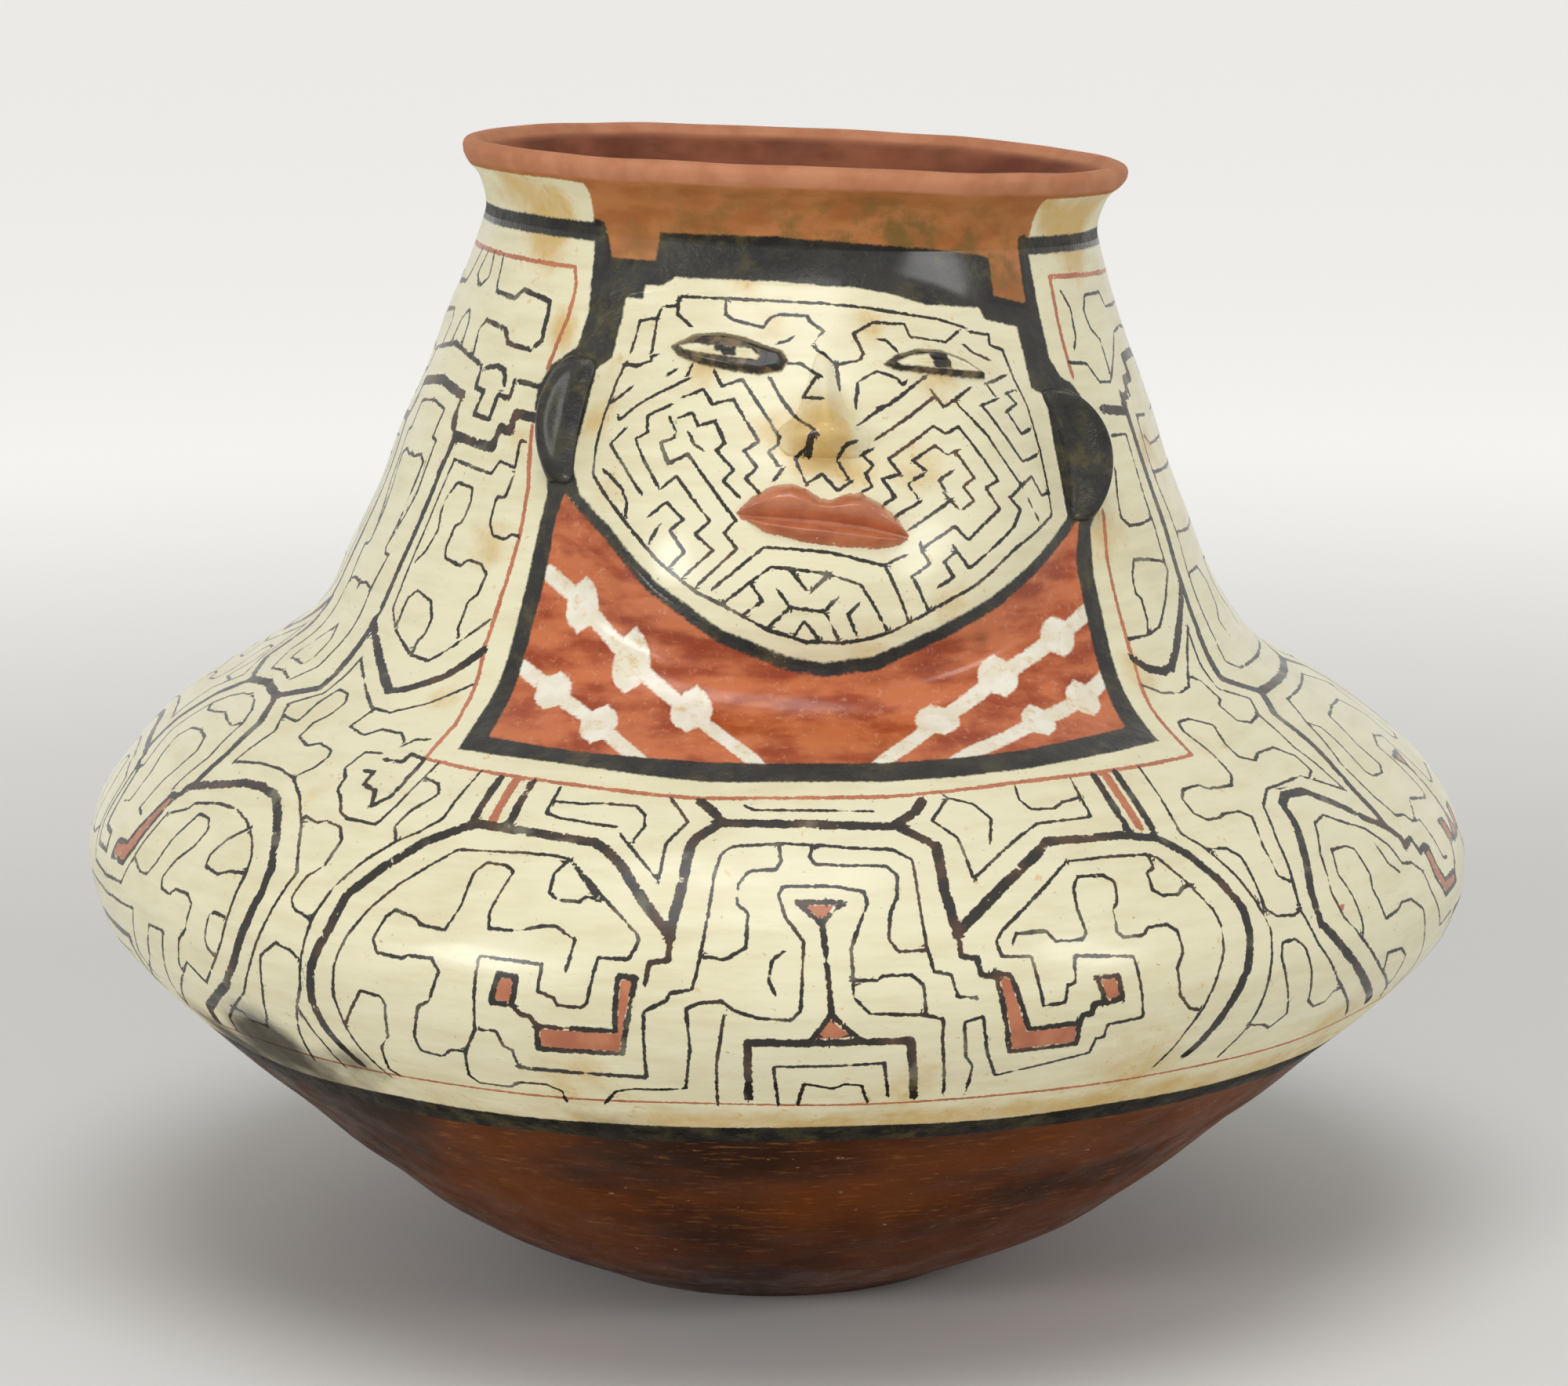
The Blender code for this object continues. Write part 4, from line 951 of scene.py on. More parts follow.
def setPoints(mesh, points):
    mesh.vertices.foreach_set("co", points.astype(np.float32).ravel())
    mesh.update()


# Node helpers for the clay and slip finishes
def addNode(tree, kind, **settings):
    node = tree.nodes.new(kind)
    for key, value in settings.items():
        setattr(node, key, value)
    return node


def feed(tree, socket, value):
    if isinstance(value, bpy.types.NodeSocket):
        tree.links.new(value, socket)
    else:
        socket.default_value = value


def calc(tree, operation, first, second=0.0):
    node = addNode(tree, "ShaderNodeMath", operation=operation)
    feed(tree, node.inputs[0], first)
    feed(tree, node.inputs[1], second)
    return node.outputs[0]


def times(tree, first, second):
    return calc(tree, "MULTIPLY", first, second)


def plus(tree, first, second):
    return calc(tree, "ADD", first, second)


def span(tree, value, low, high, toLow=0.0, toHigh=1.0):
    node = addNode(tree, "ShaderNodeMapRange", interpolation_type="SMOOTHSTEP")
    for socket, item in zip(node.inputs, (value, low, high, toLow, toHigh)):
        feed(tree, socket, item)
    return node.outputs[0]


def mixed(tree, share, first, second):
    node = addNode(tree, "ShaderNodeMix", data_type="RGBA")
    feed(tree, node.inputs["Factor"], share)
    for socket, item in ((node.inputs[6], first), (node.inputs[7], second)):
        feed(tree, socket, item if isinstance(item, bpy.types.NodeSocket) else (*item, 1.0))
    return node.outputs[2]


def grain(tree, size, detail=3.0, roughness=0.55, flatten=1.0):
    # noise with features of that size in metres, drawn out sideways where flatten is above 1
    place = addNode(tree, "ShaderNodeTexCoord").outputs["Object"]
    if flatten != 1.0:
        mapping = addNode(tree, "ShaderNodeMapping")
        mapping.inputs["Scale"].default_value = (1.0, 1.0, flatten)
        tree.links.new(place, mapping.inputs["Vector"])
        place = mapping.outputs["Vector"]
    noise = addNode(tree, "ShaderNodeTexNoise")
    tree.links.new(place, noise.inputs["Vector"])
    noise.inputs["Scale"].default_value = 1.0 / size
    noise.inputs["Detail"].default_value = detail
    noise.inputs["Roughness"].default_value = roughness
    return noise.outputs["Fac"]


def swing(tree, reach, *noise):
    # noise that goes as far below zero as above it
    return times(tree, calc(tree, "SUBTRACT", grain(tree, *noise), 0.5), reach)


def layer(tree, name):
    return addNode(tree, "ShaderNodeAttribute", attribute_name=name).outputs["Fac"]


# Slips and clays: dark and pale tone, cloud size in metres, where clouds turn pale, sideways stretch
slipWashes = {
    "bead": ((0.80, 0.74, 0.58), (0.88, 0.84, 0.72), 0.006, 0.35, 0.65, 1.0),
    "ink": ((0.012, 0.008, 0.006), (0.085, 0.040, 0.020), 0.012, 0.48, 0.70, 1.0),
    "red": ((0.42, 0.11, 0.044), (0.54, 0.175, 0.078), 0.007, 0.35, 0.65, 1.0),
    "lips": ((0.40, 0.085, 0.026), (0.54, 0.15, 0.052), 0.007, 0.35, 0.65, 1.0),
    "bib": ((0.31, 0.044, 0.006), (0.58, 0.160, 0.052), 0.017, 0.34, 0.62, 3.0),
    "black": ((0.008, 0.0075, 0.006), (0.026, 0.023, 0.017), 0.008, 0.38, 0.68, 1.0),
    "lid": ((0.022, 0.016, 0.009), (0.17, 0.115, 0.055), 0.0035, 0.42, 0.62, 1.0),
    "clay": ((0.37, 0.128, 0.034), (0.49, 0.195, 0.062), 0.014, 0.3, 0.7, 2.5),
    # the lip: its own paler, pinker clay, partly painted highlight along its rolled top
    "lip": ((0.47, 0.185, 0.088), (0.56, 0.245, 0.13), 0.010, 0.35, 0.65, 1.0),
    # the inside of the mouth, painted in shade down the inner wall
    "mouthShade": ((0.14, 0.040, 0.018), (0.27, 0.085, 0.040), 0.022, 0.3, 0.7, 2.0),
    "under": ((0.030, 0.0075, 0.0008), (0.145, 0.034, 0.002), 0.060, 0.32, 0.66, 2.0),
}
# the soot tone also paints the shadow under the chin and the shade inside the jar
markTones = {
    "stain": (0.66, 0.43, 0.13), "chip": (0.36, 0.22, 0.11), "bibScuffAndGlint": (0.68, 0.33, 0.19),
    "olive": (0.100, 0.080, 0.026), "mottle": (0.20, 0.115, 0.028), "underScuff": (0.34, 0.125, 0.024),
    "dust": (0.52, 0.42, 0.30), "sootAndShade": (0.020, 0.014, 0.010),
}
# Marks that come and go with a noise: its size in metres, detail, roughness and sideways stretch,
# then the two levels between which the mark sets in and its share at each
markGrain = {
    "worn": (0.0022, 4.0, 0.7, 1.0, 0.66, 0.72, 0.0, 1.0),
    "specks": (0.0016, 2.0, 0.55, 1.0, 0.70, 0.78, 0.0, 0.6),
    # pale pink specks on the bib: partly scuffs, partly painted glossy highlight
    "bibScuffAndGlint": (0.0020, 5.0, 0.75, 1.0, 0.54, 0.70, 0.0, 0.50),
    "beadStain": (0.004, 5.0, 0.7, 1.0, 0.52, 0.70, 0.0, 0.65),
    "mottle": (0.007, 5.0, 0.65, 1.0, 0.40, 0.66, 0.0, 1.0),
    "underScuff": (0.007, 5.0, 0.7, 9.0, 0.55, 0.68, 0.0, 0.55),
    "dust": (0.0030, 3.0, 0.6, 3.0, 0.70, 0.75, 0.0, 0.7),
    "thin": (0.0055, 3.0, 0.55, 1.0, 0.58, 0.70, 0.0, 0.40),
    "dry": (0.013, 3.0, 0.55, 1.0, 0.56, 0.70, 0.99, 0.80),
    "drift": (0.025, 2.0, 0.55, 1.0, 0.38, 0.58, 0.15, 1.0),
    "olive": (0.0060, 5.0, 0.7, 1.0, 0.44, 0.66, 0.0, 0.60),
    "rubbed": (0.0022, 6.0, 0.75, 1.0, 0.69, 0.76, 1.0, 0.45),
}
creamLook = {
    "tones": ((0.755, 0.69, 0.445), (0.85, 0.80, 0.56)), "toneRange": (0.32, 0.60),
    "streaks": (0.020, 4.0, 0.6, 6.0), "streakShare": 0.6, "clouds": (0.050, 3.0, 0.6), "cloudShare": 0.4,
    "stains": (0.011, 5.0, 0.65), "stainShare": 0.75, "resinShare": 0.55,
    "stainRange": (0.50, 0.98, 0.0, 0.85),
    "freckles": (0.0038, 4.0, 0.7), "resinFreckles": 0.10, "freckleRange": (0.64, 0.74, 0.0, 0.6),
}
# Brush lines and borders: wander in mm with its noise, soft edges, and what wear leaves of a line
lineLook = {
    "fineWander": (0.85, 0.0011, 2.0), "broadWander": (0.55, 0.006, 2.0), "softEdge": (0.35, -0.35),
    "across": (0.62, 0.38), "near": (1.10, 0.82), "wornRed": (0.95, 0.35), "wornInk": (1.0, 0.40),
}
# where the paler lip and the painted shade inside the mouth set in
mouthLook = {"lip": (0.0, 0.5), "inside": (0.55, 1.0)}
smokeAndShadeLook = {"drift": (0.9, 0.016, 5.0), "range": (0.25, 0.95, 0.0, 0.92)}
surfaceLook = {
    "gloss": (0.010, 4.0), "glossRange": (0.3, 0.7), "smoother": 0.07, "rougher": 0.13, "dullClay": 0.28,
    "polishedUnder": 0.10, "coatRoughness": 0.17, "pores": (0.0018, 4.0, 0.6), "poreShare": 0.35,
    "ridges": (0.012, 3.0, 0.55, 5.0), "ridgeShare": 0.65, "paintRelief": 0.10,
    "lumps": (4.5, 0.0040, 4.0, 0.65), "bumpStrength": 0.35, "bumpDistance": 0.0006,
}


def wash(tree, name):
    dark, pale, size, low, high, stretch = slipWashes[name]
    return mixed(tree, span(tree, grain(tree, size, flatten=stretch), low, high), dark, pale)


def mark(tree, name):
    size, detail, roughness, stretch, *levels = markGrain[name]
    return span(tree, grain(tree, size, detail, roughness, stretch), *levels)


def marked(tree, name, colour):
    return mixed(tree, mark(tree, name), colour, markTones[name])


def edgeMask(tree, name, wander):
    # 1 inside a zone, with a brush-worn border
    return span(tree, plus(tree, layer(tree, name), wander), *lineLook["softEdge"])


def lineMask(tree, across, near, wander):
    width = plus(tree, calc(tree, "ABSOLUTE", layer(tree, across)), wander)
    line = span(tree, width, *lineLook["across"])
    return times(tree, line, span(tree, layer(tree, near), *lineLook["near"]))


def creamColour(tree):
    look, resin = creamLook, layer(tree, "resin")
    streaks = plus(tree, times(tree, grain(tree, *look["streaks"]), look["streakShare"]),
                   times(tree, grain(tree, *look["clouds"]), look["cloudShare"]))
    cream = mixed(tree, span(tree, streaks, *look["toneRange"]), *look["tones"])
    stains = plus(tree, times(tree, resin, look["resinShare"]),
                  times(tree, grain(tree, *look["stains"]), look["stainShare"]))
    cream = mixed(tree, span(tree, stains, *look["stainRange"]), cream, markTones["stain"])
    freckles = plus(tree, grain(tree, *look["freckles"]), times(tree, resin, look["resinFreckles"]))
    cream = mixed(tree, span(tree, freckles, *look["freckleRange"]), cream, markTones["stain"])
    return mixed(tree, mark(tree, "specks"), cream, markTones["chip"])


def bareClayColour(tree):
    mottle = times(tree, layer(tree, "browShade"), mark(tree, "mottle"))
    clay = mixed(tree, mottle, wash(tree, "clay"), markTones["mottle"])
    # the lip paler, partly painted highlight, and the inside of the jar painted in shade
    mouthShade = layer(tree, "mouthShade")
    clay = mixed(tree, span(tree, mouthShade, *mouthLook["lip"]), clay, wash(tree, "lip"))
    return mixed(tree, span(tree, mouthShade, *mouthLook["inside"]), clay, wash(tree, "mouthShade"))


def paintedClay(name, coat, roughness, shine, redTone="red"):
    material = bpy.data.materials.new(name)
    material.use_nodes = True
    tree = material.node_tree
    shader = tree.nodes["Principled BSDF"]
    fine = swing(tree, *lineLook["fineWander"])
    wander = plus(tree, fine, swing(tree, *lineLook["broadWander"]))
    worn = mark(tree, "worn")

    # grounds: cream slip, red bib with its beads, bare clay, polished underside
    bibMask = edgeMask(tree, "bibEdge", wander)
    # the bib's pale specks are partly scuffs and partly painted glossy highlight
    colour = mixed(tree, bibMask, creamColour(tree), marked(tree, "bibScuffAndGlint", wash(tree, "bib")))
    beads = mixed(tree, mark(tree, "beadStain"), wash(tree, "bead"), markTones["stain"])
    colour = mixed(tree, times(tree, edgeMask(tree, "beadEdge", wander), bibMask), colour, beads)
    clayMask = edgeMask(tree, "clayEdge", wander)
    colour = mixed(tree, clayMask, colour, bareClayColour(tree))
    under = marked(tree, "dust", marked(tree, "underScuff", wash(tree, "under")))
    underMask = edgeMask(tree, "underEdge", wander)
    colour = mixed(tree, underMask, colour, under)

    # brush work: red, then ink, lids and the black zones, and smoke over all, with painted shadow under the
    # chin and painted shade inside
    redMask = lineMask(tree, "redAcross", "redNear", wander)
    redShare = times(tree, redMask, span(tree, worn, 0.0, 1.0, *lineLook["wornRed"]))
    colour = mixed(tree, redShare, colour, wash(tree, redTone))
    inkMask = lineMask(tree, "inkAcross", "inkNear", plus(tree, wander, mark(tree, "thin")))
    inkWear = times(tree, mark(tree, "dry"), span(tree, worn, 0.0, 1.0, *lineLook["wornInk"]))
    inkShare = times(tree, inkMask, inkWear)
    colour = mixed(tree, inkShare, colour, wash(tree, "ink"))
    colour = mixed(tree, edgeMask(tree, "lidEdge", fine), colour, wash(tree, "lid"))
    olive = times(tree, mark(tree, "drift"), mark(tree, "olive"))
    blackPaint = mixed(tree, olive, wash(tree, "black"), markTones["olive"])
    blackMask = edgeMask(tree, "blackEdge", wander)
    colour = mixed(tree, times(tree, blackMask, mark(tree, "rubbed")), colour, blackPaint)
    # smoke clouds, plus painted shadow under the chin and patches of painted shade inside the jar
    smokeAndShade = plus(tree, layer(tree, "smokeAndShade"), swing(tree, *smokeAndShadeLook["drift"]))
    colour = mixed(tree, span(tree, smokeAndShade, *smokeAndShadeLook["range"]), colour, markTones["sootAndShade"])
    tree.links.new(colour, shader.inputs["Base Color"])

    look = surfaceLook
    gloss = span(tree, grain(tree, *look["gloss"]), *look["glossRange"],
                 roughness - look["smoother"], roughness + look["rougher"])
    dull = plus(tree, gloss, times(tree, clayMask, look["dullClay"]))
    dull = calc(tree, "SUBTRACT", dull, times(tree, underMask, look["polishedUnder"]))
    tree.links.new(dull, shader.inputs["Roughness"])
    shader.inputs["Coat Weight"].default_value = coat
    shader.inputs["Coat Roughness"].default_value = look["coatRoughness"]
    shader.inputs["Specular IOR Level"].default_value = shine

    relief = plus(tree, times(tree, grain(tree, *look["pores"]), look["poreShare"]),
                  times(tree, grain(tree, *look["ridges"]), look["ridgeShare"]))
    painted = times(tree, calc(tree, "MAXIMUM", inkShare, redMask), look["paintRelief"])
    lumps = times(tree, swing(tree, *look["lumps"]), blackMask)
    bump = addNode(tree, "ShaderNodeBump")
    bump.inputs["Strength"].default_value = look["bumpStrength"]
    bump.inputs["Distance"].default_value = look["bumpDistance"]
    tree.links.new(plus(tree, plus(tree, relief, painted), lumps), bump.inputs["Height"])
    tree.links.new(bump.outputs["Normal"], shader.inputs["Normal"])
    return material


# Each slot's finish: coat weight, roughness, specular level
finishes = {
    "cream_slip": paintedClay("creamSlip", 0.40, 0.36, 0.24),
    "red_brown_clay": paintedClay("redBrownClay", 0.0, 0.40, 0.05),
    "bare_terracotta": paintedClay("bareTerracotta", 0.0, 0.50, 0.30),
    "black_slip": paintedClay("blackSlip", 0.24, 0.38, 0.30),
    "red_slip": paintedClay("redSlip", 0.75, 0.32, 0.30, redTone="lips"),
}
print("finishes made:", ", ".join(finishes))


def addPiece(name, mesh, node, slot):
    piece = bpy.data.objects.new(name, mesh)
    bpy.context.scene.collection.objects.link(piece)
    mesh.materials.append(finishes[slot])
    mesh.shade_smooth()
    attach(piece, "root")
    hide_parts(node)


def sealed(mesh):
    # merges doubled points and turns every face outward
    form = bmesh.new()
    form.from_mesh(mesh)
    bmesh.ops.remove_doubles(form, verts=form.verts, dist=1e-6)
    bmesh.ops.recalc_face_normals(form, faces=form.faces)
    form.to_mesh(mesh)
    form.free()
    return mesh


def gridMesh(name, across, up):
    form = bmesh.new()
    bmesh.ops.create_grid(form, x_segments=across, y_segments=up, size=1.0)
    mesh = bpy.data.meshes.new(name)
    form.to_mesh(mesh)
    form.free()
    return mesh


# Columns round, rows up the outside and the inside, and the angle from which an edge is sharp, in degrees
wallCourses = {
    "frontBias": 0.22,              # how much closer the columns lie at the front
    "baseDisc": {"columns": 360, "rows": 14, "sharp": 50,
                 "foot": (0.3, 0.6, 0.85, 0.97), "floor": (0.9, 0.6, 0.3)},
    "lowerWall": {"columns": 1200, "inner": 12, "sharp": 50,
                  "fineFrom": 118.0, "coarse": 5.0, "fine": 0.82},          # mm of climb
    "bellyWall": {"columns": 1440, "rows": 46, "inner": 6, "sharp": 50},
    "shoulderWall": {"columns": 1200, "rows": 73, "inner": 7, "sharp": 50},
    "neckWall": {"columns": 720, "rows": 124, "inner": 10, "sharp": 50},
    "rimCoil": {"columns": 540, "rows": 26, "inner": 12, "lipSteps": 10, "sharp": 70},
}
faceSlab = {"around": (-43.0, 43.0), "climb": (261.0, 368.0), "across": 240, "up": 240, "edge": 4.0,
            "tuck": 0.0022, "back": 0.0045, "trim": 5.5}


def turnRing(name, profile, closed):
    # profile rows: radius, height, climb in mm, depth under the outer skin
    rows = np.array(profile + profile[:1] if closed else profile)
    mesh = gridMesh(name, wallCourses[name]["columns"], len(rows) - 1)
    flat = meshPoints(mesh)
    theta = flat[:, 0] * math.pi
    theta = theta - wallCourses["frontBias"] * np.sin(theta)
    row = np.rint((flat[:, 1] + 1) * 0.5 * (len(rows) - 1)).astype(int)
    radius, height, climb, depth = rows[row].T
    setPoints(mesh, np.stack([radius * np.sin(theta), -radius * np.cos(theta), height], axis=-1))
    writeLayer(mesh, "climb", climb)
    writeLayer(mesh, "depth", depth)
    return sealed(mesh)


def wallRows(first, last, rows, depth):
    # rows: how many between two stations, or their climbs
    climbs = np.linspace(climbOf[first], climbOf[last], rows) if np.isscalar(rows) else np.asarray(rows)
    point, up = skinAtClimb(climbs)
    inward = np.stack([-up[:, 1], up[:, 0]], axis=-1)
    place = point + inward * depth
    return [(place[i, 0], place[i, 1], climbs[i], depth) for i in range(len(climbs))]


def finishRing(name, mesh):
    # the wall swells behind the face, wanders a little and leans, then takes its paint
    points = meshPoints(mesh)
    climb, depth = layerValues(mesh, "climb"), layerValues(mesh, "depth")
    theta = np.arctan2(points[:, 0], -points[:, 1])
    outside = depth < 1e-6
    skin, normals = skinDirections(theta, climb)
    roll = potSkin["lipRoll"]
    lift = handWobble(theta, climb) + np.where(outside, faceSwell(skin, normals, theta, climb), 0.0)
    bead = roll["proud"] * np.exp(-((climb - climbOf["lip"] + roll["below"]) / roll["spread"]) ** 2)
    lift += np.where(outside, bead, 0.0)
    if name == "neckWall":
        seam = PaintGrid(theta, climb).zoneDistance(faceZones["seam"])
        lift -= np.where(outside, faceSlab["tuck"] * smoothStep(0, faceSlab["edge"], -seam), 0.0)
    normals[np.hypot(points[:, 0], points[:, 1]) < 1e-6] = 0.0
    setPoints(mesh, leanOver(points + normals * lift[:, None]))
    paintPiece(mesh, theta, climb, outside)
    mesh.attributes.remove(mesh.attributes["climb"])
    mesh.attributes.remove(mesh.attributes["depth"])


def addRing(name, node, slot, profile, closed=True):
    mesh = turnRing(name, profile, closed)
    finishRing(name, mesh)
    addPiece(name, mesh, node, slot)
    mesh.set_sharp_from_angle(angle=math.radians(wallCourses[name]["sharp"]))


def makeBase():
    size, wall, floor = wallCourses["baseDisc"], potSkin["wall"], potSkin["floor"]
    outer = wallRows("base", "heel", size["rows"], 0.0)
    inner = [row for row in wallRows("base", "heel", size["rows"], wall) if row[1] > floor]
    foot = [(potSkin["radii"][0] * share, 0.0, 0.0, 0.0) for share in (0.0, *size["foot"])]
    ground = [(inner[0][0] * share, floor, 0.0, floor) for share in (*size["floor"], 0.0)]
    addRing("baseDisc", "base_disc", "red_brown_clay", foot + outer + inner[::-1] + ground, closed=False)


def makeWall(name, node, first, last, slot):
    size = wallCourses[name]
    if "fineFrom" in size:
        low, high, change = climbOf[first], climbOf[last], size["fineFrom"]
        coarse = np.linspace(low, change, int((change - low) / size["coarse"]) + 1)[:-1]
        fine = np.linspace(change, high, int((high - change) / size["fine"]) + 1)
        rows = np.concatenate([coarse, fine])
    else:
        rows = size["rows"]
    inner = wallRows(first, last, size["inner"], potSkin["wall"])
    addRing(name, node, slot, wallRows(first, last, rows, 0.0) + inner[::-1])


def makeRim():
    size = wallCourses["rimCoil"]
    outer = wallRows("throat", "lip", size["rows"], 0.0)
    inner = []
    for row in range(size["inner"]):
        share = row / (size["inner"] - 1)
        thickness = potSkin["wall"] + (potSkin["lip"] - potSkin["wall"]) * share
        climb = climbOf["throat"] + (climbOf["lip"] - climbOf["throat"]) * share
        inner += wallRows("throat", "lip", [climb], thickness)
    outerEnd, innerEnd = np.array(outer[-1][:2]), np.array(inner[-1][:2])
    centre, spoke = 0.5 * (outerEnd + innerEnd), 0.5 * (outerEnd - innerEnd)
    lip = []
    for step in range(1, size["lipSteps"]):
        turned = Matrix.Rotation(math.pi * step / size["lipSteps"], 2) @ Vector(spoke)
        lip.append((centre[0] + turned.x, centre[1] + turned.y, climbOf["lip"], potSkin["lip"] * 0.5))
    addRing("rimCoil", "rim_coil", "bare_terracotta", outer + lip + inner[::-1])


makeBase()
makeWall("lowerWall", "lower_wall", "heel", "keel", "red_brown_clay")
makeWall("bellyWall", "belly_wall", "keel", "turn", "cream_slip")
makeWall("shoulderWall", "shoulder_wall", "turn", "neckFoot", "cream_slip")
makeWall("neckWall", "neck_wall", "neckFoot", "throat", "cream_slip")
makeRim()
print("wall courses turned and painted")


def skinPatch(name, around, climb, size, front, trim=None):
    # a sheet of clay on the skin: front gives its lift in metres from degree and climb
    form = bmesh.new()
    bmesh.ops.create_grid(form, x_segments=size["across"], y_segments=size["up"], size=1.0)
    halfAround, halfClimb = 0.5 * (around[1] - around[0]), 0.5 * (climb[1] - climb[0])
    midAround, midClimb = 0.5 * (around[1] + around[0]), 0.5 * (climb[1] + climb[0])
    bmesh.ops.scale(form, vec=(halfAround, halfClimb, 1.0), verts=form.verts)
    bmesh.ops.translate(form, vec=(midAround, midClimb, 0.0), verts=form.verts)
    if trim is not None:
        reach = size["trim"]
        centres = np.array([face.calc_center_median()[:2] for face in form.faces])
        far = PaintGrid(np.radians(centres[:, 0]), centres[:, 1]).zoneDistance(trim, reach + 1) > reach
        extra = [face for face, gone in zip(form.faces, far) if gone]
        bmesh.ops.delete(form, geom=extra, context="FACES")
    sheet = bmesh.ops.extrude_face_region(form, geom=form.faces[:], use_keep_orig=True)
    raised = [item for item in sheet["geom"] if isinstance(item, bmesh.types.BMVert)]
    bmesh.ops.translate(form, vec=(0.0, 0.0, 1.0), verts=raised)
    bmesh.ops.recalc_face_normals(form, faces=form.faces)
    mesh = bpy.data.meshes.new(name)
    form.to_mesh(mesh)
    form.free()
    flat = meshPoints(mesh)
    theta, rise = np.radians(flat[:, 0]), flat[:, 1]
    lift = np.where(flat[:, 2] > 0.5, front(flat[:, 0], rise), -size["back"])
    setPoints(mesh, onSkin(theta, rise, lift))
    sealed(mesh)
    paintPiece(mesh, theta, rise, np.ones(len(theta), bool))
    return mesh


def tucked(degrees, climb, outline, height, size):
    # height inside an outline, sinking under the skin outside it
    distance = PaintGrid(np.radians(degrees), climb).zoneDistance(outline)
    return height(distance) - size["tuck"] * smoothStep(0, size["edge"], distance)


def reachOf(outline, margin):
    run = pairs(outline)
    low, high = run.min(axis=0) - margin, run.max(axis=0) + margin
    return (low[0], high[0]), (low[1], high[1])


def makeFace():
    def front(degrees, climb):
        return tucked(degrees, climb, faceZones["seam"], np.zeros_like, faceSlab)

    mesh = skinPatch("faceSlab", faceSlab["around"], faceSlab["climb"], faceSlab, front, faceZones["seam"])
    addPiece("faceSlab", mesh, "face_slab", "cream_slip")


# In mm and mm of climb: the ridge, then a wing and a nostril on each side
nosePlan = {
    "top": 349.0, "tip": 323.5, "proud": 8.6, "underTip": 6.4, "bridge": 3.0, "wings": 7.2,
    "ridgeCurve": 1.7, "sideCurve": 2.2, "slender": 0.62, "fringe": (0.10, 0.55), "tuck": 1.6,
    "wing": {"out": 5.4, "climb": 321.6, "half": (3.3, 3.0), "lift": 3.6},
    "nostril": {"out": 3.2, "climb": 318.6, "half": (1.4, 1.1), "lift": -1.7},
    "around": (-12.0, 12.0), "climb": (309.0, 356.0), "across": 90, "up": 110, "back": 0.0035,
}


def noseLift(degrees, climb):
    plan = nosePlan
    x = degrees * radiusMm(climb) * math.pi / 180
    share = np.clip((plan["top"] - climb) / (plan["top"] - plan["tip"]), 0, 1)
    below = np.clip((plan["tip"] - climb) / plan["underTip"], 0, 1)
    ridge = plan["proud"] * share ** plan["ridgeCurve"] * np.sqrt(np.maximum(1 - below ** 2, 0))
    half = plan["bridge"] + (plan["wings"] - plan["bridge"]) * share ** plan["sideCurve"]
    height = ridge * np.exp(-(x / (plan["slender"] * half)) ** 2)
    for side in (-1, 1):
        for lump in (plan["wing"], plan["nostril"]):
            wide, tall = lump["half"]
            away = np.hypot((x - side * lump["out"]) / wide, (climb - lump["climb"]) / tall)
            height = height + lump["lift"] * np.exp(-away ** 2)
    fringe = smoothStep(*plan["fringe"], height)
    return (height * fringe - plan["tuck"] * (1 - fringe)) * 0.001


def makeNose():
    mesh = skinPatch("noseRidge", nosePlan["around"], nosePlan["climb"], nosePlan, noseLift)
    addPiece("noseRidge", mesh, "nose", "cream_slip")


lipPlan = {"proud": 0.0040, "roundIn": 4.2, "fullness": 0.8, "edge": 1.6, "tuck": 0.0020, "back": 0.0032,
           "margin": (1.6, 3.0), "across": 110, "up": 60, "trim": 2.5}


def makeLip(name, node, shape):
    outline = lipShapes[shape]

    def swell(distance):
        share = np.clip(-distance / lipPlan["roundIn"], 0, 1)
        return lipPlan["proud"] * np.sin(share * math.pi / 2) ** lipPlan["fullness"]

    def front(degrees, rise):
        return tucked(degrees, rise, outline, swell, lipPlan)

    mesh = skinPatch(name, *reachOf(outline, lipPlan["margin"]), lipPlan, front, outline)
    addPiece(name, mesh, node, "red_slip")


eyePlan = {"lid": 0.0021, "lidEdge": (0.6, -1.4), "ball": 0.0016, "ballEdge": (0.3, -0.6), "bulge": 0.7,
           "bulgeEdge": (-0.4, -2.6), "tuck": 0.0018, "tuckEdge": (0.4, 2.2), "back": 0.003,
           "margin": (2.2, 3.2), "across": 110, "up": 56, "trim": 3.0}


def makeEye(name, node, shape):
    outline, plan = eyeShapes[shape], eyePlan

    def lidAndBall(degrees, rise):
        grid = PaintGrid(np.radians(degrees), rise)
        rim, white = grid.zoneDistance(outline["rim"]), grid.zoneDistance(outline["white"])
        lid = plan["lid"] * smoothStep(*plan["lidEdge"], rim)
        ball = (plan["lid"] - plan["ball"]) * smoothStep(*plan["ballEdge"], white)
        bulge = plan["ball"] * plan["bulge"] * smoothStep(*plan["bulgeEdge"], white)
        return lid - ball + bulge - plan["tuck"] * smoothStep(*plan["tuckEdge"], rim)

    mesh = skinPatch(name, *reachOf(outline["rim"], plan["margin"]), plan, lidAndBall, outline["rim"])
    addPiece(name, mesh, node, "cream_slip")


makeFace()
makeNose()
makeLip("upperLip", "upper_lip", "upper")
makeLip("lowerLip", "lower_lip", "lower")
makeEye("leftEye", "left_eye", "left")
makeEye("rightEye", "right_eye", "right")
print("face, nose, lips and eyes laid on")

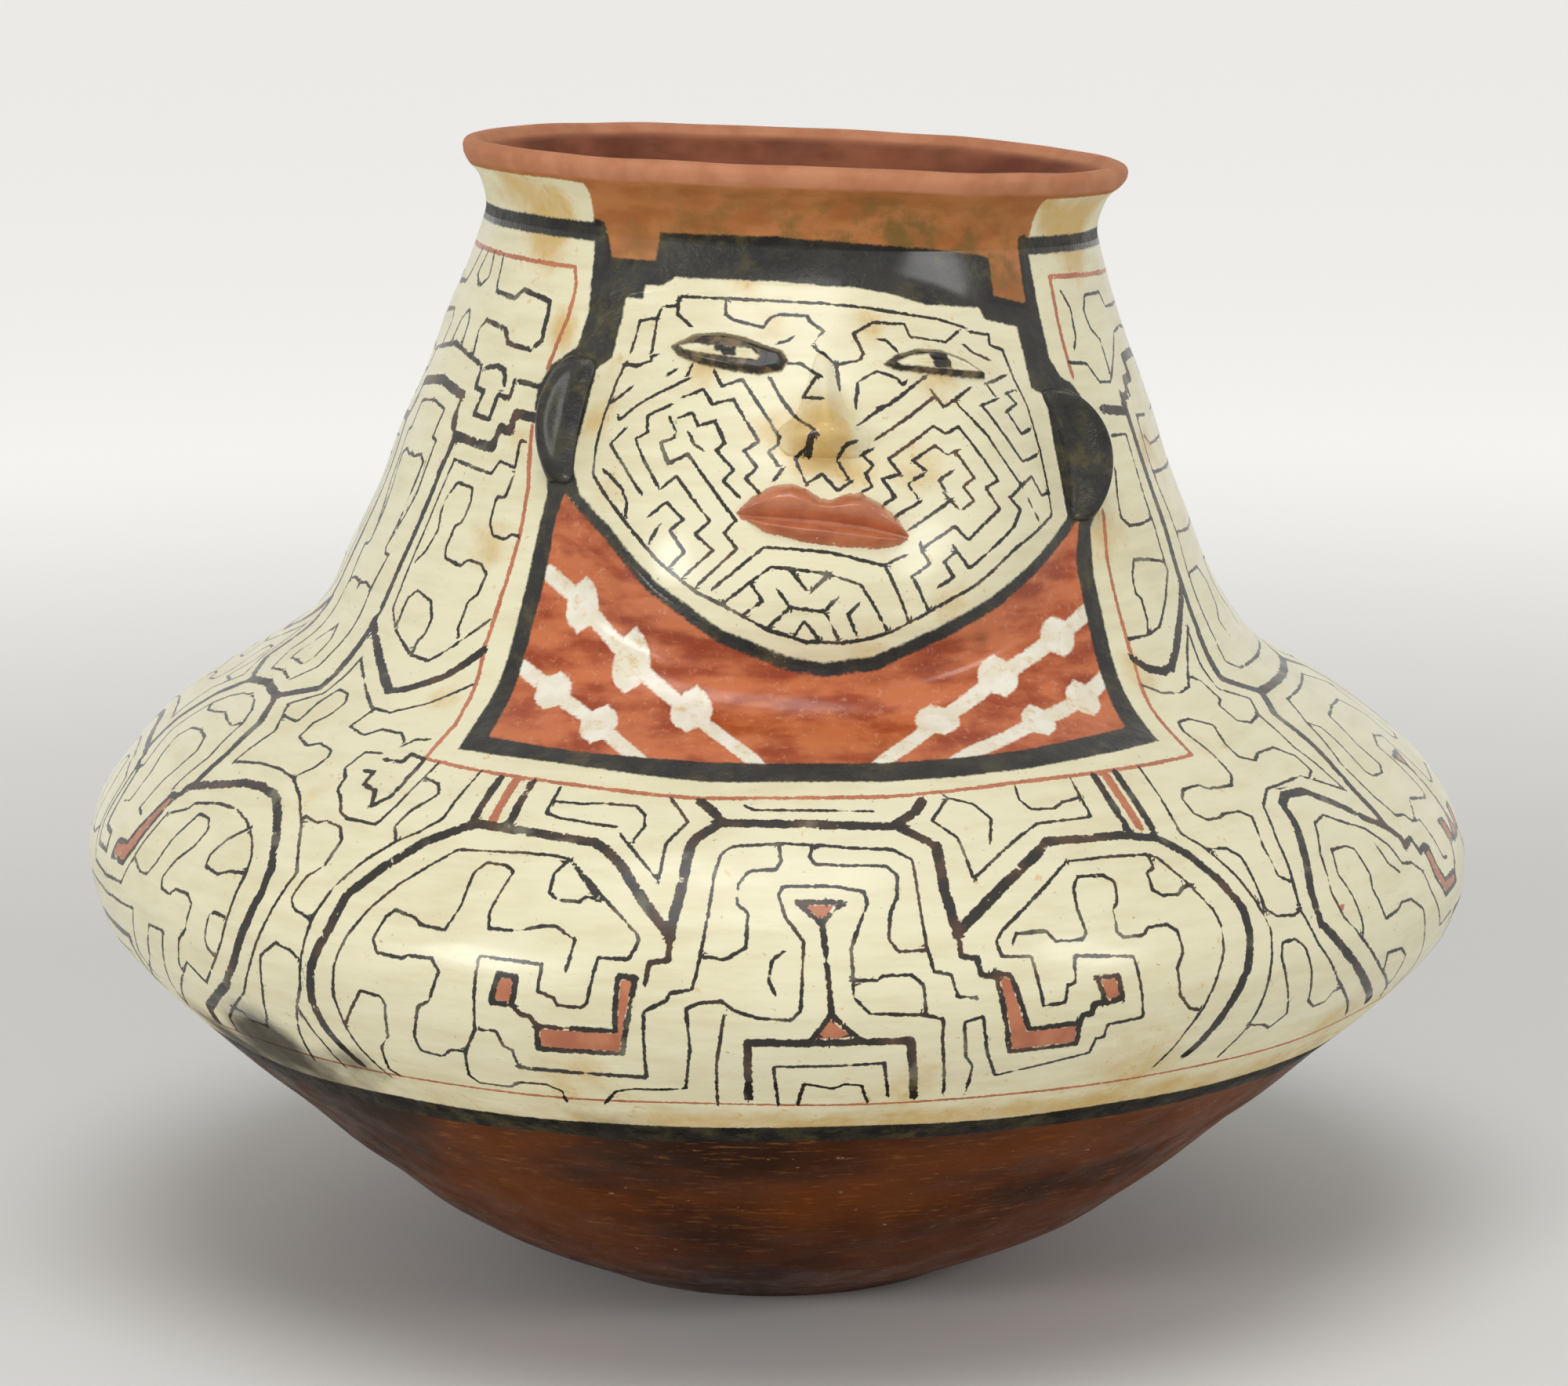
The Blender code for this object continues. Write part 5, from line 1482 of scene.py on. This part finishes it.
# Each ear is a half-round flange: scooped towards the face, rolled over at its crest, steep behind
earPlan = {
    "left": {"climb": 325.0, "halfHeight": 16.0, "crest": -39.2, "bulge": -1.6, "tilt": 0.055, "sign": -1},
    "right": {"climb": 318.5, "halfHeight": 17.0, "crest": 41.3, "bulge": 3.4, "tilt": 0.0, "sign": 1},
    "proud": 8.8, "bow": 0.55, "scoop": 8.5, "scoopCurve": 1.9, "behind": 2.6, "roll": 0.9, "rollFrom": 1.2,
    "rollSpread": 1.1, "fringe": (0.05, 0.7), "tuck": 2.0, "back": 0.0032,
    "over": 2.5, "toFace": 8.0, "toBack": 3.6, "across": 110, "up": 120,
    "paint": {"blackEdge": -6.0, "clayEdge": 6.0, "bibEdge": 6.0},
}


def makeEar(name, node, side):
    ear, sign = earPlan[side], earPlan[side]["sign"]
    reach = ear["halfHeight"] + earPlan["over"]
    climbs = (ear["climb"] - reach, ear["climb"] + reach)
    faceEnd = ear["crest"] - sign * earPlan["toFace"]
    backEnd = ear["crest"] + ear["bulge"] + sign * earPlan["toBack"]

    def flange(degrees, climb):
        up = (climb - ear["climb"]) / ear["halfHeight"]
        bow = np.clip(1 - up ** 2, 0, 1)
        crest = ear["crest"] + ear["bulge"] * bow - ear["tilt"] * (climb - ear["climb"])
        toFace = -sign * (degrees - crest) * radiusMm(climb) * math.pi / 180
        height = earPlan["proud"] * bow ** earPlan["bow"]
        inward = np.clip(1 - toFace / earPlan["scoop"], 0, 1) ** earPlan["scoopCurve"]
        behind = np.sqrt(np.clip(1 - (toFace / earPlan["behind"]) ** 2, 0, 1))
        lift = height * np.where(toFace > 0, inward, behind)
        rolled = (toFace - earPlan["rollFrom"]) / earPlan["rollSpread"]
        lift += earPlan["roll"] * bow * np.exp(-rolled ** 2)
        fringe = smoothStep(*earPlan["fringe"], lift)
        return (lift * fringe - earPlan["tuck"] * (1 - fringe)) * 0.001

    mesh = skinPatch(name, sorted((faceEnd, backEnd)), climbs, earPlan, flange)
    for layerName, value in earPlan["paint"].items():
        values = np.full(len(mesh.vertices), value, np.float32)
        mesh.attributes[layerName].data.foreach_set("value", values)
    addPiece(name, mesh, node, "black_slip")


makeEar("leftEar", "left_ear", "left")
makeEar("rightEar", "right_ear", "right")
print("ears set on")

stageLook = {"floor": (0.86, 0.855, 0.84), "radius": 30.0, "roughness": 0.8, "paper": (1.0, 0.99, 0.97),
             "glow": (0.3, 1.7, 0.0, 0.46)}         # from and to which distance, and its strength at each
roomLook = {"light": (1.0, 0.99, 0.97), "strength": 0.36, "seen": (0.86, 0.86, 0.85)}
# Lamps: place, aim, width in metres, power in watts
lamps = {
    "windowLeft": ((-1.8, -1.5, 0.75), (0, 0, 0.14), 0.62, 14.0),
    "fillRight": ((1.6, -1.5, 0.95), (0, 0, 0.14), 0.62, 9.0),
    "topSoft": ((-0.1, -0.9, 2.0), (0, 0, 0.15), 1.2, 15.0),
}


def seenShare(tree):
    # 1 for rays that show the background itself, so that it adds no light to the jar
    path = addNode(tree, "ShaderNodeLightPath").outputs
    reflected = calc(tree, "MAXIMUM", path["Is Glossy Ray"], path["Is Transmission Ray"])
    return calc(tree, "MAXIMUM", path["Is Camera Ray"], reflected)


def makeStage():
    form = bmesh.new()
    bmesh.ops.create_circle(form, cap_ends=True, segments=64, radius=stageLook["radius"])
    mesh = bpy.data.meshes.new("paleFloor")
    form.to_mesh(mesh)
    form.free()
    floor = bpy.data.objects.new("paleFloor", mesh)
    bpy.context.scene.collection.objects.link(floor)
    paper = bpy.data.materials.new("palePaper")
    paper.use_nodes = True
    tree = paper.node_tree
    shader = tree.nodes["Principled BSDF"]
    shader.inputs["Base Color"].default_value = (*stageLook["floor"], 1.0)
    shader.inputs["Roughness"].default_value = stageLook["roughness"]
    shader.inputs["Emission Color"].default_value = (*stageLook["paper"], 1.0)
    # the floor looks pale far off too, where the lamps no longer reach
    away = addNode(tree, "ShaderNodeVectorMath", operation="LENGTH")
    tree.links.new(addNode(tree, "ShaderNodeTexCoord").outputs["Object"], away.inputs[0])
    glow = span(tree, away.outputs["Value"], *stageLook["glow"])
    tree.links.new(times(tree, glow, seenShare(tree)), shader.inputs["Emission Strength"])
    mesh.materials.append(paper)


def addLamp(name, place, aim, width, power):
    data = bpy.data.lights.new(name, "AREA")
    data.shape = "DISK"
    data.size = width
    data.energy = power
    lamp = bpy.data.objects.new(name, data)
    lamp.location = place
    lamp.rotation_euler = (Vector(aim) - Vector(place)).to_track_quat("-Z", "Y").to_euler()
    bpy.context.scene.collection.objects.link(lamp)


def lightScene():
    world = bpy.data.worlds.new("softRoom")
    bpy.context.scene.world = world
    world.use_nodes = True
    tree = world.node_tree
    room = tree.nodes["Background"]
    room.inputs["Color"].default_value = (*roomLook["light"], 1.0)
    room.inputs["Strength"].default_value = roomLook["strength"]
    seen = addNode(tree, "ShaderNodeBackground")
    seen.inputs["Color"].default_value = (*roomLook["seen"], 1.0)
    choice = addNode(tree, "ShaderNodeMixShader")
    tree.links.new(seenShare(tree), choice.inputs[0])
    tree.links.new(room.outputs[0], choice.inputs[1])
    tree.links.new(seen.outputs[0], choice.inputs[2])
    tree.links.new(choice.outputs[0], tree.nodes["World Output"].inputs["Surface"])
    for name, settings in lamps.items():
        addLamp(name, *settings)


# Fitted to the outline in the photograph: metres, degrees and pixels of the full picture
cameraPlan = {"distance": 1.2, "height": 0.3719, "turn": 4.6, "pitch": 10.573, "roll": -0.5, "sensor": 36.0,
              "focalPixels": 5940.5, "imageWidth": 2000.0, "axisShift": 11.0}


def makeCamera():
    plan = cameraPlan
    data = bpy.data.cameras.new("photoView")
    data.sensor_width = plan["sensor"]
    data.lens = plan["sensor"] * plan["focalPixels"] / plan["imageWidth"]
    data.shift_x = plan["axisShift"] / plan["imageWidth"]
    data.dof.use_dof = False
    camera = bpy.data.objects.new("photoView", data)
    turn = math.radians(plan["turn"])
    place = Vector((-plan["distance"] * math.sin(turn), -plan["distance"] * math.cos(turn), plan["height"]))
    camera.matrix_world = (Matrix.Translation(place) @ Matrix.Rotation(-turn, 4, "Z")
                           @ Matrix.Rotation(math.radians(90 - plan["pitch"]), 4, "X")
                           @ Matrix.Rotation(math.radians(plan["roll"]), 4, "Z"))
    bpy.context.scene.collection.objects.link(camera)
    bpy.context.scene.camera = camera


makeStage()
lightScene()
makeCamera()
bpy.context.scene.view_settings.view_transform = "Standard"
print("stage, lamps and camera set")
